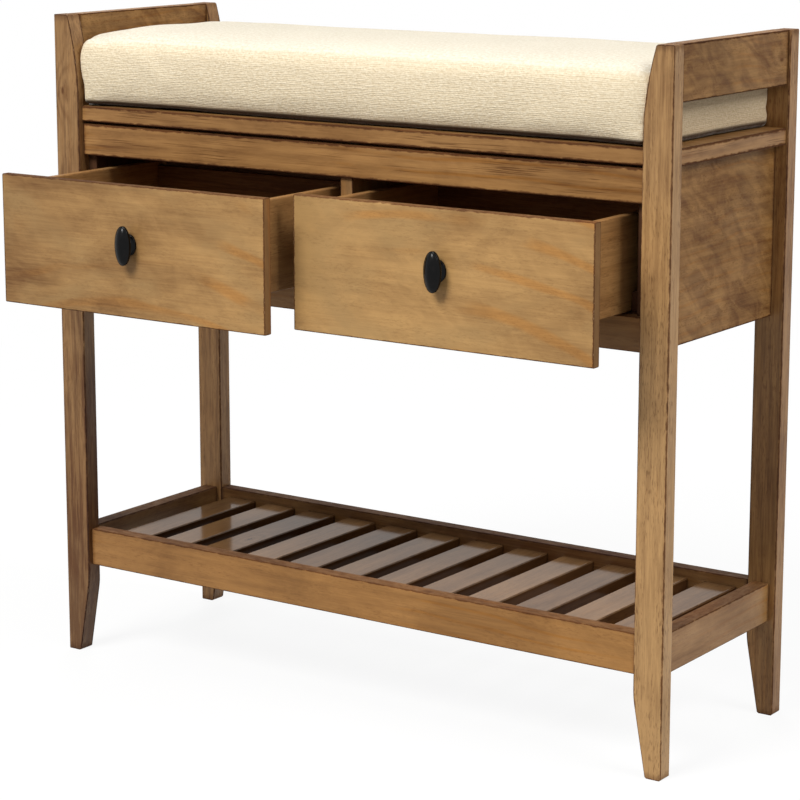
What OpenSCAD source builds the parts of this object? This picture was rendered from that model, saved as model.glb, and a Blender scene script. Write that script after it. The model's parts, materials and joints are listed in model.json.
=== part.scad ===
// Shoe storage bench. Four posts with tapered feet and tops carry two arms, a case with
// two drawers, a seat board with a loose cushion, and a slatted shoe shelf near the floor.
// Millimetres, +Z up, +X to the right, -Y to the front. The origin is on the floor, at the
// centre of the whole outline with both drawers part open.
// Inside the modules, X is measured from the middle of the bench and Y backwards from the
// front faces of the posts. The right half is described, and the left half is its mirror.

/* [Overall] */
// Width over the posts
bench_w = 800; // [720:5:1100]
// Depth over the posts
bench_d = 270; // [244:2:400]
// Height of the posts and arms above the floor
bench_h = 748; // [620:2:900]

/* [Posts] */
// Width of a post, seen from the front
post_w = 34; // [30:0.5:44]
// Depth of a post, seen from the side
post_d = 20; // [18:0.5:30]
// Width that is left at the top of a post
post_top_w = 20; // [17:0.5:30]
// Height of the curved narrowing under the top
post_top_taper = 97; // [60:1:140]
// Width that is left at the foot of a post
post_foot_w = 18; // [12:0.5:28]
// Height of the narrowing above the floor
post_foot_taper = 103; // [60:1:105]
// Height over which the foot's narrowing starts, in a soft curve
post_foot_blend = 29; // [5:1:50]
// Bevel round the sole and the top of a post
post_bevel = 1.5; // [0.5:0.1:3]
// Rounding of the upright edges of a post
post_round = 2; // [0.5:0.1:4]

/* [Arms] */
// Height of an arm
arm_h = 57.5; // [30:0.5:62]
// Thickness of an arm
arm_t = 19; // [14:0.5:24]
// Distance of an arm inside the outer faces of the posts
arm_recess = 2.5; // [0:0.5:6]

/* [Seat board] */
// Height of the posts and arms above the seat board
arm_rise = 102.5; // [90:0.5:140]
// Thickness of the seat board
seat_t = 17.5; // [12:0.5:25]
// Distance of the board's front and back edges inside the posts
seat_recess = 6; // [2:0.5:12]
// Distance of the board's ends inside the outer faces of the posts
seat_end_recess = 2.5; // [0:0.5:6]
// Fitting gap between the board's notches and the posts
seat_notch_gap = 0.2; // [0.1:0.1:1]

/* [Drawer case] */
// Height of the case under the seat board
case_h = 188.5; // [170:0.5:230]
// Height of the rail above the drawers
upper_rail_h = 35.5; // [20:0.5:50]
// Thickness of the rail above the drawers
upper_rail_t = 16; // [12:0.5:20]
// Distance of that rail behind the posts' front faces
upper_rail_recess = 7.5; // [3:0.5:12]
// Open line between that rail and the seat board
shadow_gap = 3; // [1:0.5:6]
// Height of the rail under the drawers, hidden when they are shut
lower_rail_h = 36; // [20:0.5:45]
// Thickness of the rail under the drawers
lower_rail_t = 16; // [12:0.5:20]
// Thickness of the case's side boards
case_side_t = 12; // [8:0.5:20]
// Distance of their front edges behind the drawer fronts, when these are shut
case_side_set = 5; // [1:0.5:6.5]
// Thickness of the board between the drawers
divider_t = 16; // [10:0.5:24]
// Distance of its front edge behind the drawer fronts, when these are shut
divider_set = 1; // [0.5:0.5:6]
// Thickness of the outer side panels
side_panel_t = 12; // [6:0.5:12]
// Distance of the side panels inside the outer faces of the posts
side_panel_recess = 14.5; // [5:0.5:14.5]
// Distance of their lower edges above the case's bottom
side_panel_lift = 4.5; // [0:0.5:10]
// Thickness of the back panel
back_panel_t = 12; // [6:0.5:14]
// Distance of the back panel inside the posts' back faces
back_panel_recess = 4; // [1:0.5:6]

/* [Drawers] */
// How far the left drawer stands open
left_open = 130; // [0:5:165]
// How far the right drawer stands open
right_open = 85; // [0:5:165]
// Thickness of a drawer front
front_t = 11; // [9:0.5:12]
// Gap between the two drawer fronts
front_gap = 4; // [2:0.5:8]
// Gap between a drawer front and its post
front_end_gap = 2; // [1:0.5:5]
// Gap between a drawer front and the rail above it
front_top_gap = 7; // [2:0.5:12]
// Room behind a drawer box that is shut
box_back_room = 11; // [2:0.5:60]
// Height of a drawer's sides
box_h = 98.5; // [60:0.5:108]
// Thickness of a drawer's sides
box_side_t = 10; // [8:0.5:14]
// Thickness of a drawer's back
box_back_t = 10; // [8:0.5:14]
// Thickness of a drawer's bottom
box_bottom_t = 4; // [3:0.5:6]
// Height of the drawer bottom above the lower edges of the sides
box_bottom_lift = 8; // [5:0.5:15]
// Distance of the drawer back inside the rear ends of the sides
box_back_inset = 6; // [3:0.5:20]
// Distance of the drawer back's top under the tops of the sides
box_back_drop = 5; // [0:0.5:20]
// Room beside a drawer box, filled by the guides
box_side_room = 13; // [8:0.5:16]
// Clearance between a drawer side and the lower rail
box_rail_gap = 2; // [1:0.5:4]
// Depth of the housings that hold the drawer parts together
dado_d = 4; // [2:0.5:6]
// Fitting gap round a housed edge
dado_gap = 0.1; // [0.05:0.05:0.5]

/* [Runners] */
// Thickness of a runner
runner_t = 12; // [8:0.5:20]
// Gap between a runner and the drawer side above it
runner_gap = 0.3; // [0.2:0.1:1]
// Height of a guide strip
guide_h = 20; // [10:1:40]
// Gap between a guide strip and a drawer side
guide_gap = 0.6; // [0.3:0.1:2]

/* [Knobs] */
// Width of a knob's head
knob_w = 20.5; // [18:0.5:30]
// Height of a knob's head
knob_h = 42.5; // [30:0.5:50]
// How far a knob stands out
knob_out = 18; // [15:0.5:30]
// Width of a knob's foot
knob_foot_w = 20; // [15:0.5:22]
// Height of a knob's foot
knob_foot_h = 23.5; // [18:0.5:30]
// Thickness of a knob's foot
knob_foot_t = 2.5; // [1:0.5:4]
// Width of the waist between the foot and the head
knob_waist_w = 13; // [10:0.5:15]
// Height of the waist
knob_waist_h = 17; // [12:0.5:18]
// Length of the neck from the foot to the waist, and again from there to the head
knob_neck_l = 3.2; // [2:0.1:4]
// Thickness of the head's rim
knob_rim_t = 3.6; // [2:0.1:5]
// Width of the step between the rim and the domed face
knob_step = 0.8; // [0.4:0.1:1.5]
// Distance of a knob above the middle of its drawer front
knob_rise = 8; // [0:1:20]
// Diameter of the knob screw
screw_d = 4; // [3:0.1:5]
// Diameter of its head
screw_head_d = 8.5; // [6:0.1:12]
// Thickness of its head
screw_head_t = 2.6; // [1.5:0.1:4]
// Length of the screw inside the knob
screw_grip = 10; // [6:0.5:12]
// Gap round the screw in the drawer front
screw_hole_gap = 0.3; // [0.1:0.05:1]
// Gap round the screw in the knob
screw_grip_gap = 0.05; // [0.02:0.01:0.2]

/* [Shoe shelf] */
// Height of the shelf rails' tops above the floor
shelf_top_h = 149.5; // [147:0.5:260]
// Height of the shelf rails
shelf_rail_h = 43.5; // [34:0.5:44]
// Thickness of the front shelf rail
shelf_front_t = 18; // [14:0.5:24]
// Distance of the front shelf rail behind the posts' front faces
shelf_front_recess = 6; // [3:0.5:9]
// Thickness of the back shelf rail
shelf_back_t = 17; // [14:0.5:18]
// Distance of the back shelf rail inside the posts' back faces
shelf_back_recess = 2; // [0:0.5:5]
// Thickness of the side shelf rails
shelf_side_t = 19; // [14:0.5:20]
// Distance of the side shelf rails inside the outer faces of the posts
shelf_side_recess = 8; // [2:0.5:9]
// Width of a slat
slat_w = 40; // [24:0.5:48]
// Thickness of a slat
slat_t = 15.5; // [8:0.5:16]
// Distance of the slats' tops under the rails' tops
slat_drop = 10; // [0:0.5:10]
// Gap at each end of a slat
slat_end_gap = 0.5; // [0.2:0.1:2]
// Depth of the cleats that carry the slats
cleat_d = 16; // [10:0.5:25]
// Height of the cleats
cleat_h = 16; // [8:0.5:16]
// Distance of the cleats' ends inside the posts
cleat_end_gap = 6; // [2:0.5:30]

/* [Joinery] */
// Wood left in a post between the cross rails' tenons and what its side receives
cross_tenon_wall = 1.5; // [1:0.5:3]
// Length of the tenons on the arms and side shelf rails
side_tenon_l = 10; // [6:0.5:12]
// Thickness of the tenons
tenon_t = 6; // [4:0.5:7]
// Shoulder above and below a tenon
tenon_shoulder = 6; // [3:0.5:8]
// Fitting gap round a tenon
tenon_gap = 0.15; // [0.1:0.05:0.5]
// Depth to which the panels are housed in the posts
panel_housing = 4; // [2:0.5:4]
// Rounding of the rails' and slats' long edges
edge_round = 1.6; // [0.5:0.1:3]

/* [Cushion] */
// Height of the cushion's edge, from the board to the start of the crown
cushion_edge_h = 79; // [40:1:84]
// Rise of the crown above that edge
cushion_crown = 9; // [4:1:18]
// Distance of the cushion's front behind the posts' front faces
cushion_front_recess = 2.5; // [1:0.5:20]
// Distance of the cushion's back inside the posts' back faces
cushion_back_recess = 9; // [4:0.5:20]
// Room between the cushion and the arms
cushion_arm_gap = 1.5; // [1:0.5:10]
// Room between the cushion and the posts
cushion_post_gap = 0.6; // [0.4:0.1:5]
// How far the sides are drawn in, midway between the corners
cushion_pull = 2.5; // [0:0.5:8]
// How far the underside is drawn in, where it meets the board
cushion_tuck = 12; // [4:0.5:15]
// Radius of the cushion's corners, seen from above
cushion_corner_r = 7; // [6:0.5:10]
// Gap between the cushion and the board
cushion_rest_gap = 0.3; // [0.2:0.1:1]

/* [Hidden] */
$fn = 32;
overrun = 1;
slat_count = 12;

inner_half = bench_w / 2 - post_w;
back_post_y = bench_d - post_d;
knob_reach = max(left_open, right_open) + knob_out;
middle_y = (bench_d - knob_reach) / 2;

seat_top_h = bench_h - arm_rise;
seat_under = seat_top_h - seat_t;
case_bottom = seat_under - case_h;
upper_rail_z = seat_under - shadow_gap - upper_rail_h;
lower_rail_top = case_bottom + lower_rail_h;
back_panel_y = bench_d - back_panel_recess - back_panel_t;
lower_rail_recess = front_t;
cross_tenon_end = bench_w / 2 - cross_tenon_wall
    - max(side_panel_recess + side_panel_t, shelf_side_recess + (shelf_side_t + tenon_t) / 2);

front_top = upper_rail_z - front_top_gap;
front_h = front_top - case_bottom;
front_w = inner_half - front_gap / 2 - front_end_gap;
front_mid_x = front_gap / 2 + front_w / 2;
box_in_x = divider_t / 2 + box_side_room;
box_out_x = inner_half - case_side_t - box_side_room;
box_l = back_panel_y - front_t - box_back_room;
box_z = lower_rail_top + box_rail_gap;
box_back_y = front_t + box_l - box_back_inset - box_back_t;
floor_z = box_z + box_bottom_lift;
knob_z = case_bottom + front_h / 2 + knob_rise;
runner_top = box_z - runner_gap;
runner_y = lower_rail_recess + lower_rail_t;

shelf_z = shelf_top_h - shelf_rail_h;
shelf_back_y = bench_d - shelf_back_recess - shelf_back_t;
shelf_inner = bench_w / 2 - shelf_side_recess - shelf_side_t;
slat_z = shelf_top_h - slat_drop - slat_t;
slat_front_y = shelf_front_recess + shelf_front_t;
slat_gap = (2 * shelf_inner - slat_count * slat_w) / (slat_count + 1);

wood = "#9C784C";
wood_dark = "#7A5A38";
box_wood = "#8A6740";
linen = "#E4D3A8";
black = "#1E1B1A";
steel = "#B4B4B0";

function two_digits(i) = i < 10 ? str("0", i) : str(i);
function slat_name(i) = str("slat_", two_digits(i));

DRAWER_NODES = ["front", "outer_side", "inner_side", "back", "bottom", "knob", "screw"];

// Frame of the part: the origin moves to the middle of the outline
module in_frame() {
    translate([0, -middle_y, 0]) children();
}

// The right half as described, or its mirror for the left
module on_side(side) {
    in_frame()
        if (side == "left") mirror([1, 0, 0]) children();
        else children();
}

// A drawer's parts, described shut and moved out to where the drawer stands
module in_drawer(side) {
    translate([0, side == "left" ? -left_open : -right_open, 0]) on_side(side) children();
}

// Block between two opposite corners, grown on every face for a fit
module block(low, high, grow = 0) {
    translate([for (i = [0:2]) low[i] - grow])
        cube([for (i = [0:2]) high[i] - low[i] + 2 * grow]);
}

// Rectangle with its low corner at the origin and rounded corners
module round_rect(w, h, r) {
    translate([r, 0]) square([w - 2 * r, h]);
    translate([0, r]) square([w, h - 2 * r]);
    for (x = [r, w - r], y = [r, h - r]) translate([x, y]) circle(r);
}

// Bars with rounded long edges, along each direction
module bar_x(low, high, r) {
    translate([low[0], 0, 0]) rotate([90, 0, 90])
        linear_extrude(high[0] - low[0])
            translate([low[1], low[2]]) round_rect(high[1] - low[1], high[2] - low[2], r);
}

module bar_y(low, high, r) {
    translate([0, high[1], 0]) rotate([90, 0, 0])
        linear_extrude(high[1] - low[1])
            translate([low[0], low[2]]) round_rect(high[0] - low[0], high[2] - low[2], r);
}

module bar_z(low, high, r) {
    translate([low[0], low[1], low[2]])
        linear_extrude(high[2] - low[2])
            round_rect(high[0] - low[0], high[1] - low[1], r);
}

// Corners of the tenon of a cross rail, at the right end. The tenon is centred on the
// depth that the rail and the post share.
function shared_mid_y(y, t, front) =
    (max(y, front ? 0 : back_post_y) + min(y + t, front ? post_d : bench_d)) / 2;
function cross_tenon_low(y, t, z, front) =
    [inner_half, shared_mid_y(y, t, front) - tenon_t / 2, z + tenon_shoulder];
function cross_tenon_high(y, t, z, h, front) =
    [cross_tenon_end, shared_mid_y(y, t, front) + tenon_t / 2,
     z + h - tenon_shoulder];

// Rail between two posts, with a tenon at each end
module cross_rail(y, t, z, h, front) {
    low = cross_tenon_low(y, t, z, front);
    high = cross_tenon_high(y, t, z, h, front);
    bar_x([-inner_half, y, z], [inner_half, y + t, z + h], edge_round);
    block([-high[0], low[1], low[2]], high);
}

// Corners of the core of a side rail, which runs on at both ends as a tenon
function side_core_low(recess, t, z) =
    [bench_w / 2 - recess - t / 2 - tenon_t / 2, post_d - side_tenon_l, z + tenon_shoulder];
function side_core_high(recess, t, z, h) =
    [bench_w / 2 - recess - t / 2 + tenon_t / 2, back_post_y + side_tenon_l,
     z + h - tenon_shoulder];

module side_rail(recess, t, z, h) {
    bar_y([bench_w / 2 - recess - t, post_d, z],
          [bench_w / 2 - recess, back_post_y, z + h], edge_round);
    block(side_core_low(recess, t, z), side_core_high(recess, t, z, h));
}

// Width of a post at a height: curved under the top, and at the foot a straight taper
// that starts in a soft curve
foot_slope = (post_w - post_foot_w) / (post_foot_taper - post_foot_blend / 2);
function foot_loss(drop) = drop < post_foot_blend
    ? foot_slope * pow(drop, 2) / (2 * post_foot_blend)
    : foot_slope * (drop - post_foot_blend / 2);
function top_loss(rise) = (post_w - post_top_w) * pow(rise / post_top_taper, 2);

taper_steps = 10;
function post_outline() = concat(
    [[0, bench_h - post_bevel], [0, post_bevel], [post_bevel, 0],
     [post_foot_w - post_bevel, 0]],
    [[post_w - foot_loss(post_foot_taper - post_bevel), post_bevel]],
    [for (i = [0:taper_steps])
        let (drop = post_foot_blend * (1 - i / taper_steps))
        [post_w - foot_loss(drop), post_foot_taper - drop]],
    [for (i = [0:taper_steps])
        let (rise = (post_top_taper - post_bevel) * i / taper_steps)
        [post_w - top_loss(rise), bench_h - post_top_taper + rise]],
    [[post_top_w - post_bevel, bench_h], [post_bevel, bench_h]]
);

// Post with its outer face at the bench's end and its front face at y
module post_body(y) {
    intersection() {
        translate([bench_w / 2, y + post_d, 0]) rotate([90, 0, 0]) mirror([1, 0, 0])
            linear_extrude(post_d) polygon(post_outline());
        bar_z([inner_half, y, -overrun], [bench_w / 2, y + post_d, bench_h + overrun],
              post_round);
    }
}

// What both posts of one side receive: the arm, the side shelf rail and the side panel
module side_sockets() {
    block(side_core_low(arm_recess, arm_t, bench_h - arm_h),
          side_core_high(arm_recess, arm_t, bench_h - arm_h, arm_h), tenon_gap);
    block(side_core_low(shelf_side_recess, shelf_side_t, shelf_z),
          side_core_high(shelf_side_recess, shelf_side_t, shelf_z, shelf_rail_h), tenon_gap);
    block(side_panel_low(), side_panel_high(), dado_gap);
}

module cross_socket(y, t, z, h, front) {
    block(cross_tenon_low(y, t, z, front), cross_tenon_high(y, t, z, h, front), tenon_gap);
}

module front_post(side) {
    on_side(side) color(wood)
        difference() {
            post_body(0);
            side_sockets();
            cross_socket(upper_rail_recess, upper_rail_t, upper_rail_z, upper_rail_h, true);
            cross_socket(lower_rail_recess, lower_rail_t, case_bottom, lower_rail_h, true);
            cross_socket(shelf_front_recess, shelf_front_t, shelf_z, shelf_rail_h, true);
        }
}

module back_post(side) {
    on_side(side) color(wood)
        difference() {
            post_body(back_post_y);
            side_sockets();
            cross_socket(shelf_back_y, shelf_back_t, shelf_z, shelf_rail_h, false);
            block([-back_panel_half(), back_panel_y, case_bottom],
                  [back_panel_half(), back_panel_y + back_panel_t, seat_under], dado_gap);
        }
}

module arm_rail(side) {
    on_side(side) color(wood) side_rail(arm_recess, arm_t, bench_h - arm_h, arm_h);
}

// Side panels close the ends of the case, housed in the posts
function side_panel_low() =
    [bench_w / 2 - side_panel_recess - side_panel_t, post_d - panel_housing,
     case_bottom + side_panel_lift];
function side_panel_high() =
    [bench_w / 2 - side_panel_recess, back_post_y + panel_housing, seat_under];

module side_panel(side) {
    on_side(side) color(wood) block(side_panel_low(), side_panel_high());
}

// Clearance in a case board for the two front rails
module rail_notches() {
    block([-bench_w, -overrun, upper_rail_z],
          [bench_w, upper_rail_recess + upper_rail_t, seat_under + overrun], dado_gap);
    block([-bench_w, -overrun, case_bottom - overrun],
          [bench_w, runner_y, lower_rail_top], dado_gap);
}

// Inner side of the case, fixed to the posts' inner faces. Its front edge shows beside
// the drawer openings.
module case_side(side) {
    on_side(side) color(wood_dark)
        difference() {
            block([inner_half - case_side_t, front_t + case_side_set, case_bottom],
                  [inner_half, back_panel_y, seat_under]);
            rail_notches();
        }
}

module centre_divider() {
    in_frame() color(wood)
        difference() {
            block([-divider_t / 2, front_t + divider_set, case_bottom],
                  [divider_t / 2, back_panel_y, seat_under]);
            rail_notches();
        }
}

module upper_front_rail() {
    in_frame() color(wood)
        cross_rail(upper_rail_recess, upper_rail_t, upper_rail_z, upper_rail_h, true);
}

module lower_front_rail() {
    in_frame() color(wood)
        cross_rail(lower_rail_recess, lower_rail_t, case_bottom, lower_rail_h, true);
}

function back_panel_half() = inner_half + panel_housing;

module back_panel() {
    in_frame() color(wood_dark)
        block([-back_panel_half(), back_panel_y, case_bottom],
              [back_panel_half(), back_panel_y + back_panel_t, seat_under]);
}

// A drawer side slides on a runner and along a guide strip that stands on the runner.
// The outer pair is fixed to the case side, the inner pair to the divider.
module outer_runner(side) {
    on_side(side) color(wood_dark)
        block([box_out_x - box_side_t, runner_y, runner_top - runner_t],
              [inner_half - case_side_t, back_panel_y, runner_top]);
}

module inner_runner(side) {
    on_side(side) color(wood_dark)
        block([divider_t / 2, runner_y, runner_top - runner_t],
              [box_in_x + box_side_t, back_panel_y, runner_top]);
}

module outer_guide(side) {
    on_side(side) color(wood_dark)
        block([box_out_x + guide_gap, runner_y, runner_top],
              [inner_half - case_side_t, back_panel_y, runner_top + guide_h]);
}

module inner_guide(side) {
    on_side(side) color(wood_dark)
        block([divider_t / 2, runner_y, runner_top],
              [box_in_x - guide_gap, back_panel_y, runner_top + guide_h]);
}

// The board's corners are notched round the posts
module seat_board() {
    in_frame() color(wood)
        difference() {
            bar_x([-bench_w / 2 + seat_end_recess, seat_recess, seat_under],
                  [bench_w / 2 - seat_end_recess, bench_d - seat_recess, seat_top_h],
                  edge_round);
            for (m = [0, 1], y = [0, back_post_y]) mirror([m, 0, 0])
                block([inner_half, y, seat_under - overrun],
                      [bench_w / 2 + overrun, y + post_d, seat_top_h + overrun],
                      seat_notch_gap);
        }
}

module side_shelf_rail(side) {
    on_side(side) color(wood) side_rail(shelf_side_recess, shelf_side_t, shelf_z, shelf_rail_h);
}

module front_shelf_rail() {
    in_frame() color(wood)
        cross_rail(shelf_front_recess, shelf_front_t, shelf_z, shelf_rail_h, true);
}

module back_shelf_rail() {
    in_frame() color(wood)
        cross_rail(shelf_back_y, shelf_back_t, shelf_z, shelf_rail_h, false);
}

// Cleats along the inside of the front and back shelf rails carry the slats
module slat_cleat(y) {
    in_frame() color(wood_dark)
        block([-inner_half + cleat_end_gap, y, slat_z - cleat_h],
              [inner_half - cleat_end_gap, y + cleat_d, slat_z]);
}

module slat(i) {
    x = -shelf_inner + slat_gap + (i - 1) * (slat_w + slat_gap);
    in_frame() color(wood)
        bar_y([x, slat_front_y + slat_end_gap, slat_z],
              [x + slat_w, shelf_back_y - slat_end_gap, slat_z + slat_t], edge_round);
}

// The drawer front overhangs its box and covers the lower rail. The sides and the bottom
// are housed in its back, and the knob's screw goes through it.
module drawer_front(side) {
    in_drawer(side) color(wood)
        difference() {
            bar_x([front_gap / 2, 0, case_bottom],
                  [front_gap / 2 + front_w, front_t, front_top], edge_round);
            outer_side_blank(dado_gap);
            inner_side_blank(dado_gap);
            bottom_blank(dado_gap);
            translate([front_mid_x, front_t + overrun, knob_z]) rotate([90, 0, 0])
                cylinder(h = front_t + 2 * overrun, r = screw_d / 2 + screw_hole_gap);
        }
}

module side_blank(x, grow) {
    block([x, front_t - dado_d, box_z],
          [x + box_side_t, front_t + box_l, box_z + box_h], grow);
}

module outer_side_blank(grow = 0) {
    side_blank(box_out_x - box_side_t, grow);
}

module inner_side_blank(grow = 0) {
    side_blank(box_in_x, grow);
}

module bottom_blank(grow = 0) {
    block([box_in_x + box_side_t - dado_d, front_t - dado_d, floor_z],
          [box_out_x - box_side_t + dado_d, front_t + box_l, floor_z + box_bottom_t], grow);
}

module back_blank(grow = 0) {
    block([box_in_x + box_side_t - dado_d, box_back_y, floor_z + box_bottom_t],
          [box_out_x - box_side_t + dado_d, box_back_y + box_back_t,
           box_z + box_h - box_back_drop], grow);
}

// Side of a drawer box, grooved for the bottom and housed for the back
module drawer_side(x) {
    difference() {
        bar_y([x, front_t - dado_d, box_z],
              [x + box_side_t, front_t + box_l, box_z + box_h], edge_round);
        bottom_blank(dado_gap);
        back_blank(dado_gap);
    }
}

module drawer_outer_side(side) {
    in_drawer(side) color(box_wood) drawer_side(box_out_x - box_side_t);
}

module drawer_inner_side(side) {
    in_drawer(side) color(box_wood) drawer_side(box_in_x);
}

module drawer_back(side) {
    in_drawer(side) color(box_wood) back_blank();
}

module drawer_bottom(side) {
    in_drawer(side) color(box_wood) bottom_blank();
}

// Upright oval slice, centred, with its points from a formula
oval_points = 32;
module oval(w, h, z, t) {
    translate([0, 0, z]) linear_extrude(t)
        polygon([for (i = [0:oval_points - 1])
            let (a = 360 * i / oval_points)
            [w / 2 * cos(a), h / 2 * sin(a)]]);
}

// Upright oval knob: a foot, a neck that narrows to a waist, and a head whose rim is
// stepped round a domed face. It stands out towards the front, with its screw's hole
// from behind.
knob_slice = 0.4;
knob_waist_z = knob_foot_t + knob_neck_l;
knob_rim_z = knob_waist_z + knob_neck_l;
knob_dome_z = knob_rim_z + knob_rim_t - knob_slice;
knob_dome_w = knob_w - 2 * knob_step;
knob_dome_h = knob_h - 2 * knob_step;
// Slices of the dome: size as a share of its oval, and height as a share of its rise
dome_shares = [[1, 0.12], [0.93, 0.4], [0.76, 0.68], [0.52, 0.88], [0.26, 1]];
module drawer_knob(side) {
    in_drawer(side) color(black)
        translate([front_mid_x, 0, knob_z]) rotate([90, 0, 0])
            difference() {
                union() {
                    oval(knob_foot_w, knob_foot_h, 0, knob_foot_t);
                    hull() {
                        oval(knob_foot_w - 2 * knob_step, knob_foot_h - 2 * knob_step,
                             knob_foot_t - knob_slice, knob_slice);
                        oval(knob_waist_w, knob_waist_h, knob_waist_z - knob_slice,
                             knob_slice);
                    }
                    hull() {
                        oval(knob_waist_w, knob_waist_h, knob_waist_z - knob_slice,
                             knob_slice);
                        oval(knob_dome_w, knob_dome_h, knob_rim_z, knob_slice);
                    }
                    oval(knob_w, knob_h, knob_rim_z, knob_rim_t);
                    hull() {
                        oval(knob_dome_w, knob_dome_h, knob_dome_z, knob_slice);
                        for (s = dome_shares)
                            oval(s[0] * knob_dome_w, s[0] * knob_dome_h,
                                 knob_dome_z + s[1] * (knob_out - knob_dome_z) - knob_slice,
                                 knob_slice);
                    }
                }
                translate([0, 0, -overrun])
                    cylinder(h = screw_grip + 2 * overrun, r = screw_d / 2 + screw_grip_gap);
            }
}

// Screw from inside the drawer, through its front into the knob
module drawer_screw(side) {
    in_drawer(side) color(steel)
        translate([front_mid_x, front_t, knob_z]) rotate([90, 0, 0]) {
            cylinder(h = front_t + screw_grip, r = screw_d / 2);
            translate([0, 0, -screw_head_t])
                cylinder(h = screw_head_t, r = screw_head_d / 2);
        }
}

// Cushion. Seen from above it fills the seat between the arms and is notched round the
// posts. Its rings shrink towards the underside, bulge at mid height, spread into the
// posts' tapers, and close over the crown.
// Half of the outline's corners: [x, y, radius, negative for an inward corner].
cushion_y0 = cushion_front_recess;
cushion_y1 = bench_d - cushion_back_recess;
cushion_mid = (cushion_y0 + cushion_y1) / 2;
cushion_half_d = (cushion_y1 - cushion_y0) / 2;
cushion_end = bench_w / 2 - arm_recess - arm_t - cushion_arm_gap;
cushion_front_end = inner_half - cushion_post_gap;
notch_round_share = 0.45;
notch_r = notch_round_share * (cushion_end - cushion_front_end);
// The notches' inward corners are tight enough to clear the posts' corners
notch_in_share = 2;
notch_in_r = min(notch_in_share * cushion_post_gap, notch_r);

function right_corners() = [
    [cushion_front_end, cushion_y0, cushion_corner_r],
    [cushion_front_end, post_d + cushion_post_gap, -notch_in_r],
    [cushion_end, post_d + cushion_post_gap, notch_r],
    [cushion_end, back_post_y - cushion_post_gap, notch_r],
    [cushion_front_end, back_post_y - cushion_post_gap, -notch_in_r],
    [cushion_front_end, cushion_y1, cushion_corner_r]
];

// Points of one rounded corner between square edges. turn is the direction of the
// edge that arrives, in degrees.
corner_steps = 4;
function corner_points(c, turn) =
    let (r = abs(c[2]), s = c[2] > 0 ? 1 : -1,
         mid = [c[0] - r * cos(turn) - s * r * sin(turn),
                c[1] - r * sin(turn) + s * r * cos(turn)])
    [for (i = [0:corner_steps])
        let (a = turn - s * 90 + s * 90 * i / corner_steps)
        mid + r * [cos(a), sin(a)]];

right_turns = [0, 90, 0, 90, 180, 90];
long_steps = 12;
short_steps = 4;
function run_points(p, q, n) = [for (i = [1:n - 1]) p + (q - p) * i / n];

right_points = [for (k = [0:5]) each corner_points(right_corners()[k], right_turns[k])];
end_run_low = [cushion_end, post_d + cushion_post_gap + notch_r];
end_run_high = [cushion_end, back_post_y - cushion_post_gap - notch_r];
per_corner = corner_steps + 1;
right_side = [
    each [for (i = [0:3 * per_corner - 1]) right_points[i]],
    each run_points(end_run_low, end_run_high, short_steps),
    each [for (i = [3 * per_corner:6 * per_corner - 1]) right_points[i]]
];
left_side = [for (i = [len(right_side) - 1:-1:0]) [-right_side[i][0], right_side[i][1]]];
front_run = run_points([-cushion_front_end + cushion_corner_r, cushion_y0],
                       [cushion_front_end - cushion_corner_r, cushion_y0], long_steps);
back_run = run_points([cushion_front_end - cushion_corner_r, cushion_y1],
                      [-cushion_front_end + cushion_corner_r, cushion_y1], long_steps);
cushion_outline = concat(right_side, back_run, left_side, front_run);
// Most of the notch that the spread may take
spread_share = 0.7;

// Sides drawn in midway between the corners
function drawn_in(p) =
    let (x_share = p[0] / cushion_end, y_share = (p[1] - cushion_mid) / cushion_half_d)
    [p[0] * (1 - cushion_pull / cushion_end * (1 - pow(y_share, 2))),
     cushion_mid + (p[1] - cushion_mid)
         * (1 - cushion_pull / cushion_half_d * (1 - pow(x_share, 2)))];

// Rings: inset as a share of the tuck, and height as a share of the edge height
side_ring_shares = [[1, 0], [0.62, 0.04], [0.22, 0.14], [0.04, 0.32], [0, 0.55],
                    [0.06, 0.75], [0.28, 0.89], [0.8, 0.98]];
// Rings over the crown: inset as a share of the half depth, and height as a share of
// the crown
crown_ring_shares = [[0.14, 0.12], [0.25, 0.45], [0.42, 0.76], [0.62, 0.94], [0.84, 1]];
cushion_rings = concat(
    [for (s = side_ring_shares) [s[0] * cushion_tuck, s[1] * cushion_edge_h]],
    [for (s = crown_ring_shares)
        [s[0] * cushion_half_d, cushion_edge_h + s[1] * cushion_crown]]
);

// Place along the bench once the ends have spread by d, between the arms only up to
// the arms
function spread_out(x, d) =
    let (past = abs(x) - cushion_front_end, side = x < 0 ? -1 : 1)
    past < 0
        ? x * (1 + d / cushion_front_end)
        : side * (cushion_front_end + d
            + past * (1 - d / (cushion_end - cushion_front_end)));

function ring_point(p, ring) =
    let (z = seat_top_h + cushion_rest_gap + ring[1],
         rise = max(0, z - bench_h + post_top_taper),
         room = cushion_end - cushion_front_end)
    [spread_out(p[0] * (1 - ring[0] / cushion_end), min(top_loss(rise), room * spread_share)),
     cushion_mid + (p[1] - cushion_mid) * (1 - ring[0] / cushion_half_d),
     z];

module cushion() {
    n = len(cushion_outline);
    m = len(cushion_rings);
    points = concat(
        [for (ring = cushion_rings, p = cushion_outline) ring_point(drawn_in(p), ring)],
        [[0, cushion_mid, seat_top_h + cushion_rest_gap],
         [0, cushion_mid, seat_top_h + cushion_rest_gap + cushion_edge_h + cushion_crown]]
    );
    walls = [for (k = [0:m - 2], i = [0:n - 1])
        let (a = k * n + i, b = k * n + (i + 1) % n)
        each [[a, b + n, b], [a, a + n, b + n]]];
    underside = [for (i = [0:n - 1]) [m * n, i, (i + 1) % n]];
    top = [for (i = [0:n - 1]) [m * n + 1, (m - 1) * n + (i + 1) % n, (m - 1) * n + i]];
    in_frame() color(linen) polyhedron(points, concat(walls, underside, top));
}

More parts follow.
